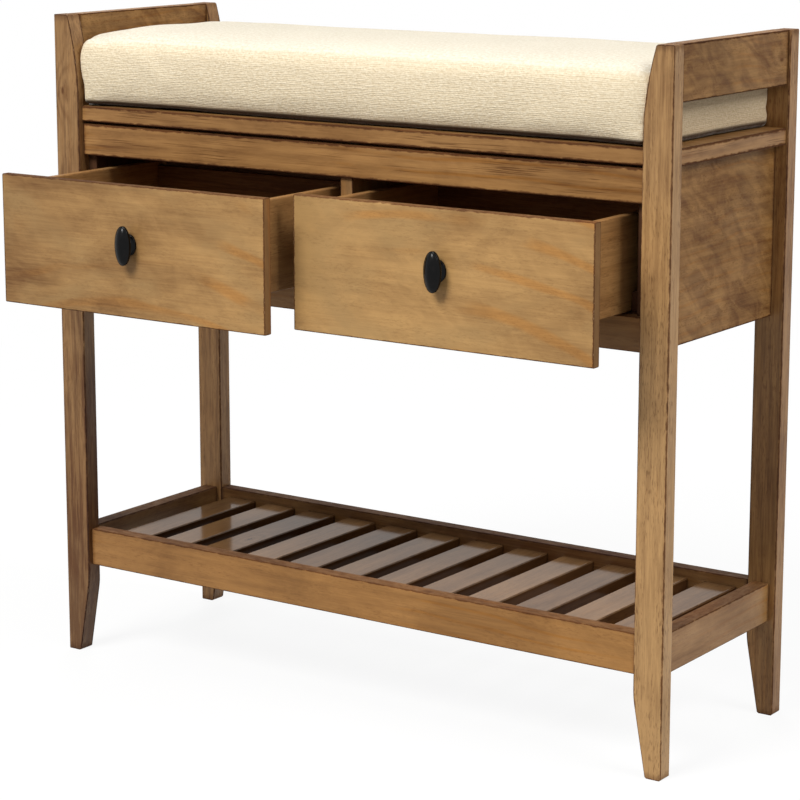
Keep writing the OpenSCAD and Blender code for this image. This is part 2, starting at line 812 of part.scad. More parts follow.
front_post("left");  // front_left_post
front_post("right");  // front_right_post
back_post("left");  // back_left_post
back_post("right");  // back_right_post
arm_rail("left");  // left_arm_rail
arm_rail("right");  // right_arm_rail
side_panel("left");  // left_side_panel
side_panel("right");  // right_side_panel
case_side("left");  // left_case_side
case_side("right");  // right_case_side
upper_front_rail();
lower_front_rail();
back_panel();
centre_divider();
outer_runner("left");  // left_outer_runner
inner_runner("left");  // left_inner_runner
inner_runner("right");  // right_inner_runner
outer_runner("right");  // right_outer_runner
outer_guide("left");  // left_outer_guide
inner_guide("left");  // left_inner_guide
inner_guide("right");  // right_inner_guide
outer_guide("right");  // right_outer_guide
seat_board();
cushion();
side_shelf_rail("left");  // left_shelf_rail
side_shelf_rail("right");  // right_shelf_rail
front_shelf_rail();
back_shelf_rail();
slat_cleat(slat_front_y);  // front_slat_cleat
slat_cleat(shelf_back_y - cleat_d);  // back_slat_cleat
for (i = [1:slat_count])
    slat(i);
drawer_front("left");  // left_drawer_front
drawer_outer_side("left");  // left_drawer_outer_side
drawer_inner_side("left");  // left_drawer_inner_side
drawer_back("left");  // left_drawer_back
drawer_bottom("left");  // left_drawer_bottom
drawer_knob("left");  // left_drawer_knob
drawer_screw("left");  // left_drawer_screw
drawer_front("right");  // right_drawer_front
drawer_outer_side("right");  // right_drawer_outer_side
drawer_inner_side("right");  // right_drawer_inner_side
drawer_back("right");  // right_drawer_back
drawer_bottom("right");  // right_drawer_bottom
drawer_knob("right");  // right_drawer_knob
drawer_screw("right");  // right_drawer_screw
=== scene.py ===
"""Looks of the shoe storage bench: stained boards with softened edges, a linen cushion,
black oval knobs, and a plain pale studio. Metres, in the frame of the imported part."""
import json
import math
import random

import bmesh
import bpy
from mathutils import Matrix, Vector, noise

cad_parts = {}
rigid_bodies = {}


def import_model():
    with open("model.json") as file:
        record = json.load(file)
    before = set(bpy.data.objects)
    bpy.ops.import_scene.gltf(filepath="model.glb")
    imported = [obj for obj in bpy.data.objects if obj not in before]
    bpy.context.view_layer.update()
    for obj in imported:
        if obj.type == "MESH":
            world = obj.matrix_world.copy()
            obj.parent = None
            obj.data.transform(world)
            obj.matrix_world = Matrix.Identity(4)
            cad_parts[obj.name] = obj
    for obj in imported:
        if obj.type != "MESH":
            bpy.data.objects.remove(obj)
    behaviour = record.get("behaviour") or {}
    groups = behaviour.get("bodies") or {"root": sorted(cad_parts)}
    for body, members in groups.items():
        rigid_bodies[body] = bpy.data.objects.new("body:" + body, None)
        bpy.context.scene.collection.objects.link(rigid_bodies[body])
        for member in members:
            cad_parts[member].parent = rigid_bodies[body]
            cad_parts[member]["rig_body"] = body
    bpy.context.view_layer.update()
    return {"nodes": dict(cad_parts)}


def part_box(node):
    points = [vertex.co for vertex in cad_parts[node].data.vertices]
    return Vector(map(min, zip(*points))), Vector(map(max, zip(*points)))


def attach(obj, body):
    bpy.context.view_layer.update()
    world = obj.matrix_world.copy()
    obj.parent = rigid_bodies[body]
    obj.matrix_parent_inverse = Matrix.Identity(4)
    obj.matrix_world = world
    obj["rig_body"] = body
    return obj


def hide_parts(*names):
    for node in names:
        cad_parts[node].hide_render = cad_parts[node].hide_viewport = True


MM = 0.001
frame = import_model()


# Places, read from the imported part

POST_LOW, POST_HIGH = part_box("front_right_post")
BACK_LOW, BACK_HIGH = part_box("back_right_post")
BENCH_TOP = POST_HIGH.z
BENCH_END = POST_HIGH.x
FRONT_Y = POST_LOW.y
BACK_Y = BACK_HIGH.y
SEAT_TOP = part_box("seat_board")[1].z
CENTRE = Vector((0, (FRONT_Y + BACK_Y) / 2, BENCH_TOP / 2))

# Shape of a post, as its solid has it
POST_WIDTH = POST_HIGH.x - POST_LOW.x
FOOT_WIDTH = 18 * MM
FOOT_TAPER = 103 * MM
FOOT_BLEND = 29 * MM
TOP_WIDTH = 20 * MM
TOP_TAPER = 97 * MM

# Camera, fitted to the corners of the bench in the photograph
CAMERA_PLACE = Vector((1.634, -2.312, 0.946))
CAMERA_YAW = 34.66
CAMERA_PITCH = 11.24
IMAGE_PIXELS = 800
FOCAL_PIXELS = 2637
CAMERA_SHIFT_Y = -0.05


# Short calls for objects

def placed(name, data):
    """A new object with this mesh, light or camera, put into the scene."""
    made = bpy.data.objects.new(name, data)
    bpy.context.scene.collection.objects.link(made)
    return made


def finished_mesh(name, shape):
    """A mesh made of the shape, which is let go."""
    mesh = bpy.data.meshes.new(name)
    shape.to_mesh(mesh)
    shape.free()
    return mesh


def stand_in(piece, node):
    """The piece takes the place of a CAD node, on the body that the node moves with."""
    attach(piece, frame["nodes"][node]["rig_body"])
    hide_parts(node)


def applied(piece):
    """Replaces the piece's mesh with what its modifiers make of it."""
    graph = bpy.context.evaluated_depsgraph_get()
    mesh = bpy.data.meshes.new_from_object(piece.evaluated_get(graph))
    piece.modifiers.clear()
    piece.data = mesh


# Short calls for building node trees

def add_node(tree, kind, inputs=None, **settings):
    """A new node. A socket given as an input is linked, and any other value is set."""
    made = tree.nodes.new(kind)
    for name, value in settings.items():
        setattr(made, name, value)
    for key, value in (inputs or {}).items():
        if isinstance(value, bpy.types.NodeSocket):
            tree.links.new(value, made.inputs[key])
        else:
            made.inputs[key].default_value = value
    return made


def calc(tree, operation, *values, clamp=False):
    """One step of arithmetic on numbers."""
    made = add_node(tree, "ShaderNodeMath", dict(enumerate(values)), operation=operation)
    made.use_clamp = clamp
    return made.outputs[0]


def vector_calc(tree, operation, *values):
    """One step of arithmetic on vectors."""
    made = add_node(tree, "ShaderNodeVectorMath", dict(enumerate(values)),
                    operation=operation)
    return made.outputs[0]


def attribute(tree, name):
    """The vector that mark_board has written for each point under this name."""
    return add_node(tree, "ShaderNodeAttribute", attribute_name=name).outputs["Vector"]


def split(tree, vector):
    """The three parts of a vector."""
    return add_node(tree, "ShaderNodeSeparateXYZ", {0: vector}).outputs


def length(tree, vector):
    """The length of a vector."""
    return add_node(tree, "ShaderNodeVectorMath", {0: vector}, operation="LENGTH").outputs[1]


def step_up(tree, value, low, high):
    """A soft step from 0 at low to 1 at high."""
    made = add_node(tree, "ShaderNodeMapRange",
                    {"Value": value, "From Min": low, "From Max": high},
                    interpolation_type="SMOOTHSTEP")
    return made.outputs[0]


def step_down(tree, value, low, high):
    """A soft step from 1 at low to 0 at high."""
    return calc(tree, "SUBTRACT", 1.0, step_up(tree, value, low, high))


def mix_colour(tree, share, first, second, blend="MIX"):
    """The first colour, with the second mixed or multiplied into it by the share."""
    made = add_node(tree, "ShaderNodeMix", {0: share, 6: first, 7: second},
                    data_type="RGBA", blend_type=blend)
    return made.outputs[2]


def tinted(tree, colour, tint, share):
    """The colour, multiplied by the tint where the share is 1."""
    return mix_colour(tree, share, colour, mix_colour(tree, 1.0, colour, tint, "MULTIPLY"))


def noise_at(tree, place, stretch, detail=3.0, roughness=0.55, distortion=0.0):
    """Noise whose cells are 1 / stretch metres long in each direction."""
    stretched = vector_calc(tree, "MULTIPLY", place, stretch)
    made = add_node(tree, "ShaderNodeTexNoise",
                    {"Vector": stretched, "Scale": 1.0, "Detail": detail,
                     "Roughness": roughness, "Distortion": distortion})
    return made.outputs[0]


def new_group(name, inputs, outputs):
    """An empty shader group, with its input and output nodes."""
    group = bpy.data.node_groups.new(name, "ShaderNodeTree")
    kinds = {float: "NodeSocketFloat", tuple: "NodeSocketColor"}
    for label, default in inputs.items():
        socket = group.interface.new_socket(label, in_out="INPUT",
                                            socket_type=kinds[type(default)])
        socket.default_value = default
    for label, kind in outputs.items():
        group.interface.new_socket(label, in_out="OUTPUT", socket_type=kinds[kind])
    entry = group.nodes.new("NodeGroupInput")
    leave = group.nodes.new("NodeGroupOutput")
    return group, entry.outputs, leave.inputs


def new_material(name, values):
    """A material, its node tree, and its shader, which has these values."""
    material = bpy.data.materials.new(name)
    material.use_nodes = True
    tree = material.node_tree
    shader = tree.nodes["Principled BSDF"]
    for label, value in values.items():
        shader.inputs[label].default_value = value
    return material, tree, shader


def add_relief(tree, shader, height, strength, depth):
    """Relief that the light shows, without a change of shape."""
    relief = add_node(tree, "ShaderNodeBump",
                      {"Strength": strength, "Distance": depth, "Height": height})
    tree.links.new(relief.outputs[0], shader.inputs["Normal"])


# Shader groups that several finishes share

def edge_distance_group():
    """Distance in metres from a point of a board to its nearest edge, to its nearest
    end, and below its upper face, from the rim and span attributes."""
    group, _, leave = new_group("edge distance", {},
                                {"Edge": float, "End": float, "Below": float})
    rim = attribute(group, "rim")
    span = attribute(group, "span")
    room = vector_calc(group, "SUBTRACT", span, vector_calc(group, "ABSOLUTE", rim))
    parts = split(group, room)
    total = calc(group, "ADD", calc(group, "ADD", parts[0], parts[1]), parts[2])
    least = calc(group, "MINIMUM", calc(group, "MINIMUM", parts[0], parts[1]), parts[2])
    most = calc(group, "MAXIMUM", calc(group, "MAXIMUM", parts[0], parts[1]), parts[2])
    middle = calc(group, "SUBTRACT", calc(group, "SUBTRACT", total, least), most)
    group.links.new(middle, leave["Edge"])
    group.links.new(parts[0], leave["End"])
    under = split(group, vector_calc(group, "SUBTRACT", span, rim))[2]
    group.links.new(under, leave["Below"])
    return group


# A knot: its shape, the reach of the rings round it, how many rings bend round it, and
# its dark core and where that ends
KNOT_STRETCH = (0.45, 1.0, 0.3)
KNOT_REACH = 22 * MM
KNOT_RINGS = 2.2
KNOT_CORE = 0.8 * MM
KNOT_RIM = 2.8 * MM
# The slant of the curl in the grain, in radians, and of the orange streaks
CURL_SLANT = 0.6
STREAK_SLANT = -2.5


def grain_group():
    """Grain of a board, from the grain attribute, which runs along, across and through
    it. Figure, Fibre, Stain and Curl swing about zero, and the rest are masks. The knot
    attribute is the way from the board's knot, which bends the figure round itself."""
    group, entry, leave = new_group(
        "wood grain",
        {"Figure Width": 0.034, "Warp": 2.4, "Arch": 0.0, "Tick Length": 0.009,
         "Streak Lean": 0.0},
        {"Figure": float, "Fibre": float, "Stain": float, "Curl": float, "Haze": float,
         "Ticks": float, "Streak": float, "Knot": float})
    grain = attribute(group, "grain")
    way = vector_calc(group, "MULTIPLY", attribute(group, "knot"), KNOT_STRETCH)
    from_knot = length(group, way)
    swirl = step_down(group, from_knot, 0.0, KNOT_REACH)
    across = split(group, grain)[1]
    along, aside, _ = split(group, attribute(group, "rim"))
    drift = noise_at(group, grain, (3.0, 10.0, 10.0), 2.0)
    rings = calc(group, "ADD", calc(group, "DIVIDE", across, entry["Figure Width"]),
                 calc(group, "MULTIPLY", drift, entry["Warp"]))
    rings = calc(group, "MULTIPLY_ADD", calc(group, "MULTIPLY", along, along),
                 entry["Arch"], rings)
    rings = calc(group, "MULTIPLY_ADD", swirl, KNOT_RINGS, rings)
    wave = calc(group, "SINE", calc(group, "MULTIPLY", rings, math.tau))
    figure = calc(group, "MULTIPLY", wave, calc(group, "MULTIPLY_ADD", swirl, 0.4, 0.5))
    group.links.new(figure, leave["Figure"])
    group.links.new(step_down(group, from_knot, KNOT_CORE, KNOT_RIM), leave["Knot"])

    broad = noise_at(group, grain, (8.0, 190.0, 190.0), 4.0, 0.6, 0.3)
    fine = noise_at(group, grain, (30.0, 520.0, 520.0), 3.0, 0.6)
    fibre = calc(group, "ADD", calc(group, "MULTIPLY", broad, 0.5),
                 calc(group, "MULTIPLY", fine, 0.5))
    fibre = calc(group, "SUBTRACT", step_up(group, fibre, 0.34, 0.66), 0.5)
    group.links.new(fibre, leave["Fibre"])
    cloud = noise_at(group, grain, (7.0, 15.0, 15.0), 5.0, 0.65, 0.6)
    stain = calc(group, "SUBTRACT", step_up(group, cloud, 0.32, 0.68), 0.5)
    group.links.new(stain, leave["Stain"])
    slanted = add_node(group, "ShaderNodeVectorRotate", {"Vector": grain, "Angle": CURL_SLANT},
                       rotation_type="Z_AXIS").outputs[0]
    curl = noise_at(group, slanted, (24.0, 52.0, 40.0), 4.0, 0.6, 0.9)
    curl = calc(group, "SUBTRACT", step_up(group, curl, 0.3, 0.7), 0.5)
    group.links.new(curl, leave["Curl"])
    haze = noise_at(group, vector_calc(group, "ADD", grain, (7.0, 3.0, 5.0)),
                    (6.0, 12.0, 12.0), 4.0, 0.6, 0.4)
    group.links.new(step_up(group, haze, 0.45, 0.68), leave["Haze"])

    tick_parts = split(group, vector_calc(group, "MULTIPLY", grain, (1.0, 700.0, 700.0)))
    tick_place = add_node(group, "ShaderNodeCombineXYZ", {
        0: calc(group, "DIVIDE", tick_parts[0], entry["Tick Length"]),
        1: tick_parts[1], 2: tick_parts[2]}).outputs[0]
    ticks = noise_at(group, tick_place, (1.0, 1.0, 1.0), 2.0, 0.5)
    beds = noise_at(group, grain, (12.0, 70.0, 70.0), 2.0, 0.5)
    ticks = calc(group, "MULTIPLY", step_up(group, ticks, 0.52, 0.66),
                 step_up(group, beds, 0.36, 0.60))
    group.links.new(ticks, leave["Ticks"])
    patches = noise_at(group, grain, (3.5, 7.0, 7.0), 3.0, 0.5, 0.8)
    lean = calc(group, "MULTIPLY_ADD", aside, STREAK_SLANT, along)
    patches = calc(group, "MULTIPLY_ADD", lean, entry["Streak Lean"], patches)
    crest = step_up(group, wave, 0.55, 1.0)
    streak = calc(group, "MULTIPLY", step_up(group, patches, 0.46, 0.60), crest)
    group.links.new(streak, leave["Streak"])
    return group


# What dark glaze and painted shade make of a stain, and the bare wood where an edge is rubbed
GLAZE_AND_SHADE_TINT = (0.20, 0.10, 0.045, 1.0)
BARE_WOOD = (0.78, 0.62, 0.45, 1.0)
RUBBED_WIDTH = 0.8 * MM
# Distance from the shoulder at which a joint's dark line starts; the line is dark glaze
# in the joint and painted shade where the parts meet
JOINT_START = 0.2 * MM
# Depths below the upper face between which the side of a slat darkens, as painted
# shade in the gaps between slats
SIDE_START = 0.8 * MM
SIDE_FULL = 2.2 * MM


def stained_board_group(grain, edges):
    """Colour, roughness, relief and gloss of a stained board: darker in its joints, as dark
    glaze and painted shade, on its rubbed glaze lines, down its sides as painted shade
    and on its upper faces, and paler where its edges are worn.
    The finish attribute holds how dark the stain is, with painted light and shade on
    some boards, how orange, and how dark the joints are."""
    group, entry, leave = new_group(
        "stained board",
        {"Light": (0.38, 0.22, 0.09, 1.0), "Dark": (0.1, 0.036, 0.008, 1.0),
         "Orange": (0.42, 0.185, 0.04, 1.0), "Dull": (0.27, 0.18, 0.085, 1.0),
         "Figure": 0.3, "Fibres": 0.35, "Stain": 0.3, "Curl": 0.0, "Haze": 0.2,
         "Streaks": 0.1, "Ticks": 0.4, "Glaze": 0.9, "Glaze Width": 0.0022,
         "Joint Reach": 0.006, "Sides": 0.0, "Tops": 0.0, "Wear": 0.3,
         "Figure Width": 0.034, "Warp": 2.4, "Arch": 0.0, "Tick Length": 0.009,
         "Streak Lean": 0.0, "Roughness": 0.4},
        {"Colour": tuple, "Roughness": float, "Height": float, "Gloss": float})
    wood = add_node(group, "ShaderNodeGroup", {}, node_tree=grain)
    for label in ("Figure Width", "Warp", "Arch", "Tick Length", "Streak Lean"):
        group.links.new(entry[label], wood.inputs[label])
    near = add_node(group, "ShaderNodeGroup", {}, node_tree=edges)
    tone, warmth, joints = split(group, attribute(group, "finish"))

    depth = calc(group, "MULTIPLY_ADD", wood.outputs["Figure"], entry["Figure"], tone)
    depth = calc(group, "MULTIPLY_ADD", wood.outputs["Fibre"], entry["Fibres"], depth)
    depth = calc(group, "MULTIPLY_ADD", wood.outputs["Curl"], entry["Curl"], depth)
    depth = calc(group, "MULTIPLY_ADD", wood.outputs["Stain"], entry["Stain"], depth,
                 clamp=True)
    colour = mix_colour(group, depth, entry["Light"], entry["Dark"])
    dull = calc(group, "MULTIPLY", wood.outputs["Haze"], entry["Haze"])
    colour = mix_colour(group, dull, colour, entry["Dull"])
    warm = calc(group, "MULTIPLY_ADD", wood.outputs["Streak"], entry["Streaks"], warmth,
                clamp=True)
    colour = mix_colour(group, warm, colour,
                        mix_colour(group, depth, entry["Orange"], entry["Dark"]))
    specks = calc(group, "MAXIMUM", wood.outputs["Knot"],
                  calc(group, "MULTIPLY", wood.outputs["Ticks"], entry["Ticks"]))
    colour = mix_colour(group, specks, colour, entry["Dark"])

    ragged = noise_at(group, attribute(group, "grain"), (90.0, 220.0, 220.0), 4.0, 0.65)
    reach = calc(group, "MULTIPLY", entry["Glaze Width"],
                 calc(group, "MULTIPLY_ADD", ragged, 2.6, -0.3))
    glaze = step_down(group, near.outputs["Edge"], calc(group, "MULTIPLY", reach, 0.4), reach)
    # Dark line at the joints: partly dark glaze, partly painted shade where the parts meet
    joint_end = calc(group, "MULTIPLY", entry["Joint Reach"],
                     calc(group, "MULTIPLY", ragged, 2.0))
    joint = step_down(group, near.outputs["End"], JOINT_START, joint_end)
    # Painted shade down the sides, below the upper face, as far as the Sides input asks
    below = step_up(group, near.outputs["Below"], SIDE_START, SIDE_FULL)
    below = calc(group, "MULTIPLY", below, entry["Sides"])
    dark = calc(group, "MAXIMUM", calc(group, "MULTIPLY", glaze, entry["Glaze"]),
                calc(group, "MULTIPLY", joint, joints))
    dark = calc(group, "MAXIMUM", dark, below)
    upward = split(group, add_node(group, "ShaderNodeTexCoord").outputs["Normal"])[2]
    upper = calc(group, "MULTIPLY", step_up(group, upward, 0.5, 0.95), entry["Tops"])
    upper = calc(group, "MULTIPLY", upper,
                 calc(group, "MULTIPLY_ADD", ragged, 1.4, 0.2), clamp=True)
    dark = calc(group, "MAXIMUM", dark, upper)
    colour = tinted(group, colour, GLAZE_AND_SHADE_TINT, dark)
    rubbed = step_down(group, near.outputs["Edge"], 0.0, RUBBED_WIDTH)
    rubbed = calc(group, "MULTIPLY", rubbed, step_up(group, ragged, 0.55, 0.66))
    rubbed = calc(group, "MULTIPLY", rubbed, entry["Wear"])
    pale = mix_colour(group, 0.4, entry["Light"], BARE_WOOD)
    colour = mix_colour(group, rubbed, colour, pale)
    group.links.new(colour, leave["Colour"])

    rough = calc(group, "MULTIPLY_ADD", wood.outputs["Stain"], 0.12, entry["Roughness"])
    rough = calc(group, "MULTIPLY_ADD", specks, 0.15, rough)
    rough = calc(group, "MULTIPLY_ADD", calc(group, "SUBTRACT", 0.95, rough), dark, rough)
    group.links.new(rough, leave["Roughness"])
    relief = calc(group, "MULTIPLY_ADD", specks, -0.8,
                  calc(group, "MULTIPLY", wood.outputs["Fibre"], -0.45))
    group.links.new(relief, leave["Height"])
    group.links.new(calc(group, "SUBTRACT", 1.0, below), leave["Gloss"])
    return group


BOARD_RELIEF = 0.4 * MM
LACQUER_ROUGHNESS = 0.13


def board_material(name, slot, group, values, bump, specular, coat=0.0):
    """A wooden finish, which is the stained board group with its own values, and the
    slot that it belongs to."""
    material, tree, shader = new_material(name, {"Specular IOR Level": specular})
    board = add_node(tree, "ShaderNodeGroup", {}, node_tree=group)
    for label, value in values.items():
        board.inputs[label].default_value = value
    add_relief(tree, shader, board.outputs["Height"], bump, BOARD_RELIEF)
    tree.links.new(board.outputs["Colour"], shader.inputs["Base Color"])
    tree.links.new(board.outputs["Roughness"], shader.inputs["Roughness"])
    if coat:
        lacquer = calc(tree, "MULTIPLY", board.outputs["Gloss"], coat)
        tree.links.new(lacquer, shader.inputs["Coat Weight"])
        shader.inputs["Coat Roughness"].default_value = LACQUER_ROUGHNESS
    return material, slot


# Linen: widths of a wavy ridge and of the threads each way
RIDGE_PITCH = 4.6 * MM
ROW_PITCH = 1.9 * MM
COLUMN_PITCH = 2.1 * MM
LINEN_RELIEF = 0.7 * MM
# Its colours, a tint that pales and cools its top as painted light, and one that
# darkens its ends as painted shade
LINEN_CLEAR = (0.72, 0.60, 0.41, 1.0)
LINEN_CLOUDY = (0.66, 0.545, 0.365, 1.0)
LINEN_SLUB = (0.84, 0.735, 0.55, 1.0)
LINEN_HEM_SHADE = (0.04, 0.018, 0.006, 1.0)
TOP_PAINTED_LIGHT = (0.97, 1.05, 1.21, 1.0)
END_PAINTED_SHADE = (0.80, 0.74, 0.67, 1.0)
# Heights above the board between which the painted shade along the lower hem
# turns to clean linen
HEM_SHADE_FULL = 5.0 * MM
HEM_SHADE_END = 9.5 * MM


def weave_group():
    """One plane of coarse linen: wavy ridges and uneven threads along U, finer threads
    along V, and slubs. Both coordinates are in metres."""
    group, entry, leave = new_group(
        "linen weave", {"U": 0.0, "V": 0.0}, {"Height": float, "Slub": float})
    place = add_node(group, "ShaderNodeCombineXYZ",
                     {0: entry["U"], 1: entry["V"]}).outputs[0]
    wander = noise_at(group, place, (22.0, 45.0, 1.0), 3.0, 0.6)
    ridges = calc(group, "MULTIPLY_ADD", wander, 2.6,
                  calc(group, "DIVIDE", entry["V"], RIDGE_PITCH))
    ridges = calc(group, "SINE", calc(group, "MULTIPLY", ridges, math.tau))
    rows = calc(group, "MULTIPLY_ADD", wander, 3.0,
                calc(group, "DIVIDE", entry["V"], ROW_PITCH))
    rows = calc(group, "SINE", calc(group, "MULTIPLY", rows, math.tau))
    columns = calc(group, "MULTIPLY_ADD", wander, 2.0,
                   calc(group, "DIVIDE", entry["U"], COLUMN_PITCH))
    columns = calc(group, "SINE", calc(group, "MULTIPLY", columns, math.tau))
    slub = noise_at(group, place, (190.0, 330.0, 1.0), 3.0, 0.6)
    knots = noise_at(group, place, (360.0, 480.0, 1.0), 2.0, 0.6)
    height = calc(group, "MULTIPLY", ridges, 0.10)
    height = calc(group, "MULTIPLY_ADD", rows, 0.16, height)
    height = calc(group, "MULTIPLY_ADD", columns, 0.14, height)
    height = calc(group, "MULTIPLY_ADD", slub, 1.0, height)
    height = calc(group, "MULTIPLY_ADD", knots, 1.3, height)
    group.links.new(height, leave["Height"])
    shade = calc(group, "MULTIPLY_ADD", ridges, 0.02,
                 calc(group, "ADD", calc(group, "MULTIPLY", slub, 0.5),
                      calc(group, "MULTIPLY", knots, 0.5)))
    group.links.new(shade, leave["Slub"])
    return group


def linen_material():
    """Cream linen, woven in planes that follow the cushion's top, front and ends, with
    painted light on its top and painted shade on its ends and along its lower hem.
    """
    weave = weave_group()
    material, tree, shader = new_material("cream_linen", {
        "Roughness": 0.9, "Sheen Weight": 0.4, "Sheen Roughness": 0.3,
        "Sheen Tint": (1.0, 0.90, 0.78, 1.0), "Specular IOR Level": 0.2})
    spot = add_node(tree, "ShaderNodeTexCoord").outputs
    x, y, z = split(tree, spot["Object"])
    upward = split(tree, spot["Normal"])[2]
    fx, fy, fz = split(tree, vector_calc(tree, "ABSOLUTE", spot["Normal"]))
    height, slub = 0.0, 0.0
    for share, u, v in ((fz, x, y), (fy, x, z), (fx, y, z)):
        part = add_node(tree, "ShaderNodeGroup", {"U": u, "V": v}, node_tree=weave)
        weight = step_up(tree, share, 0.52, 0.88)
        height = calc(tree, "MULTIPLY_ADD", part.outputs["Height"], weight, height)
        slub = calc(tree, "MULTIPLY_ADD", part.outputs["Slub"], weight, slub)
    cloud = noise_at(tree, spot["Object"], (9.0, 9.0, 9.0), 3.0)
    warm = step_up(tree, cloud, 0.3, 0.7)
    colour = mix_colour(tree, warm, LINEN_CLEAR, LINEN_CLOUDY)
    pale = step_up(tree, slub, 0.36, 0.66)
    colour = mix_colour(tree, pale, colour, LINEN_SLUB)
    # Painted light: the top is tinted paler and cooler
    colour = tinted(tree, colour, TOP_PAINTED_LIGHT, step_up(tree, upward, 0.3, 0.95))
    # Painted shade: the ends are tinted darker
    colour = tinted(tree, colour, END_PAINTED_SHADE, step_up(tree, fx, 0.5, 0.9))
    # Painted shade along the lower hem, just above the board
    hem_shade = step_down(tree, z, SEAT_TOP + HEM_SHADE_FULL, SEAT_TOP + HEM_SHADE_END)
    colour = mix_colour(tree, hem_shade, colour, LINEN_HEM_SHADE)
    tree.links.new(colour, shader.inputs["Base Color"])
    add_relief(tree, shader, height, 0.7, LINEN_RELIEF)
    return material


KNOB_BLACK = (0.001, 0.001, 0.001, 1.0)
KNOB_RUBBED = (0.004, 0.003, 0.003, 1.0)
KNOB_RELIEF = 0.2 * MM
ZINC_DULL = (0.46, 0.46, 0.44, 1.0)
ZINC_BRIGHT = (0.72, 0.72, 0.70, 1.0)


def knob_material():
    """Black satin lacquer on metal, slightly rubbed."""
    material, tree, shader = new_material("black_satin", {"Specular IOR Level": 0.14})
    spot = add_node(tree, "ShaderNodeTexCoord").outputs["Object"]
    haze = noise_at(tree, spot, (220.0, 220.0, 220.0), 4.0, 0.6)
    colour = mix_colour(tree, step_up(tree, haze, 0.45, 0.75), KNOB_BLACK, KNOB_RUBBED)
    tree.links.new(colour, shader.inputs["Base Color"])
    rough = calc(tree, "MULTIPLY_ADD", haze, 0.12, 0.14)
    tree.links.new(rough, shader.inputs["Roughness"])
    grit = noise_at(tree, spot, (1400.0, 1400.0, 1400.0), 2.0)
    add_relief(tree, shader, grit, 0.12, KNOB_RELIEF)
    return material


def zinc_material():
    """Zinc plated steel with a fine cloudy bloom."""
    material, tree, shader = new_material("zinc_steel", {"Metallic": 1.0})
    spot = add_node(tree, "ShaderNodeTexCoord").outputs["Object"]
    bloom = noise_at(tree, spot, (900.0, 900.0, 900.0), 4.0, 0.6)
    colour = mix_colour(tree, bloom, ZINC_DULL, ZINC_BRIGHT)
    tree.links.new(colour, shader.inputs["Base Color"])
    rough = calc(tree, "MULTIPLY_ADD", bloom, 0.25, 0.22)
    tree.links.new(rough, shader.inputs["Roughness"])
    return material


# Boards

AXES = {"X": 0, "Y": 1, "Z": 2}
EDGE_ANGLE = math.radians(30)
SMOOTH_ANGLE = math.radians(50)
FLAT_ANGLE = math.radians(0.5)
SAME_PLACE = 0.002 * MM
BOARD_BEVEL = 0.8 * MM
# Each board's grain starts at its own place in one large trunk, up to this many metres
# from the middle
TRUNK_REACH = 20
TAPER_CUTS = 10
TAPER_LEVELS = ([FOOT_TAPER - FOOT_BLEND * k / TAPER_CUTS for k in range(TAPER_CUTS + 1)]
                + [BENCH_TOP - TOP_TAPER * k / TAPER_CUTS for k in range(1, TAPER_CUTS + 1)])


def post_width_at(z):
    """Width of a post at a height."""
    slope = (POST_WIDTH - FOOT_WIDTH) / (FOOT_TAPER - FOOT_BLEND / 2)
    drop = FOOT_TAPER - z
    rise = z - (BENCH_TOP - TOP_TAPER)
    if drop > FOOT_BLEND:
        return POST_WIDTH - slope * (drop - FOOT_BLEND / 2)
    if drop > 0:
        return POST_WIDTH - slope * drop ** 2 / (2 * FOOT_BLEND)
    if rise > 0:
        return POST_WIDTH - (POST_WIDTH - TOP_WIDTH) * (rise / TOP_TAPER) ** 2
    return POST_WIDTH


def softened_copy(node, levels):
    """A mesh copied from a CAD node, with its sharp edges rounded. It is cut across at
    each level, so that no face spans a curve."""
    mesh = frame["nodes"][node].data.copy()
    mesh.name = node + "_board"
    shape = bmesh.new()
    shape.from_mesh(mesh)
    bmesh.ops.remove_doubles(shape, verts=shape.verts, dist=SAME_PLACE)
    bmesh.ops.dissolve_limit(shape, angle_limit=FLAT_ANGLE, verts=shape.verts,
                             edges=shape.edges)
    sharp = [e for e in shape.edges
             if len(e.link_faces) == 2 and e.is_convex
             and e.calc_face_angle() > EDGE_ANGLE]
    bmesh.ops.bevel(shape, geom=sharp, offset=BOARD_BEVEL, segments=2, profile=0.5,
                    affect="EDGES", clamp_overlap=True)
    for level in levels:
        everything = shape.verts[:] + shape.edges[:] + shape.faces[:]
        bmesh.ops.bisect_plane(shape, geom=everything, dist=SAME_PLACE,
                               plane_co=(0, 0, level), plane_no=(0, 0, 1))
    shape.to_mesh(mesh)
    shape.free()
    mesh.materials.clear()
    return mesh


def write_vectors(mesh, name, values):
    """Writes a vector for each point, which the materials read by its name."""
    layer = mesh.attributes.new(name, "FLOAT_VECTOR", "POINT")
    layer.data.foreach_set("vector", [part for value in values for part in value])


def grain_order(mesh, along):
    """The axes of a board: along its grain, then its wider side, then through it."""
    first = AXES[along]
    others = [k for k in range(3) if k != first]
    width = [max(v.co[k] for v in mesh.vertices) - min(v.co[k] for v in mesh.vertices)
             for k in others]
    if width[0] < width[1]:
        others.reverse()
    return [first] + others


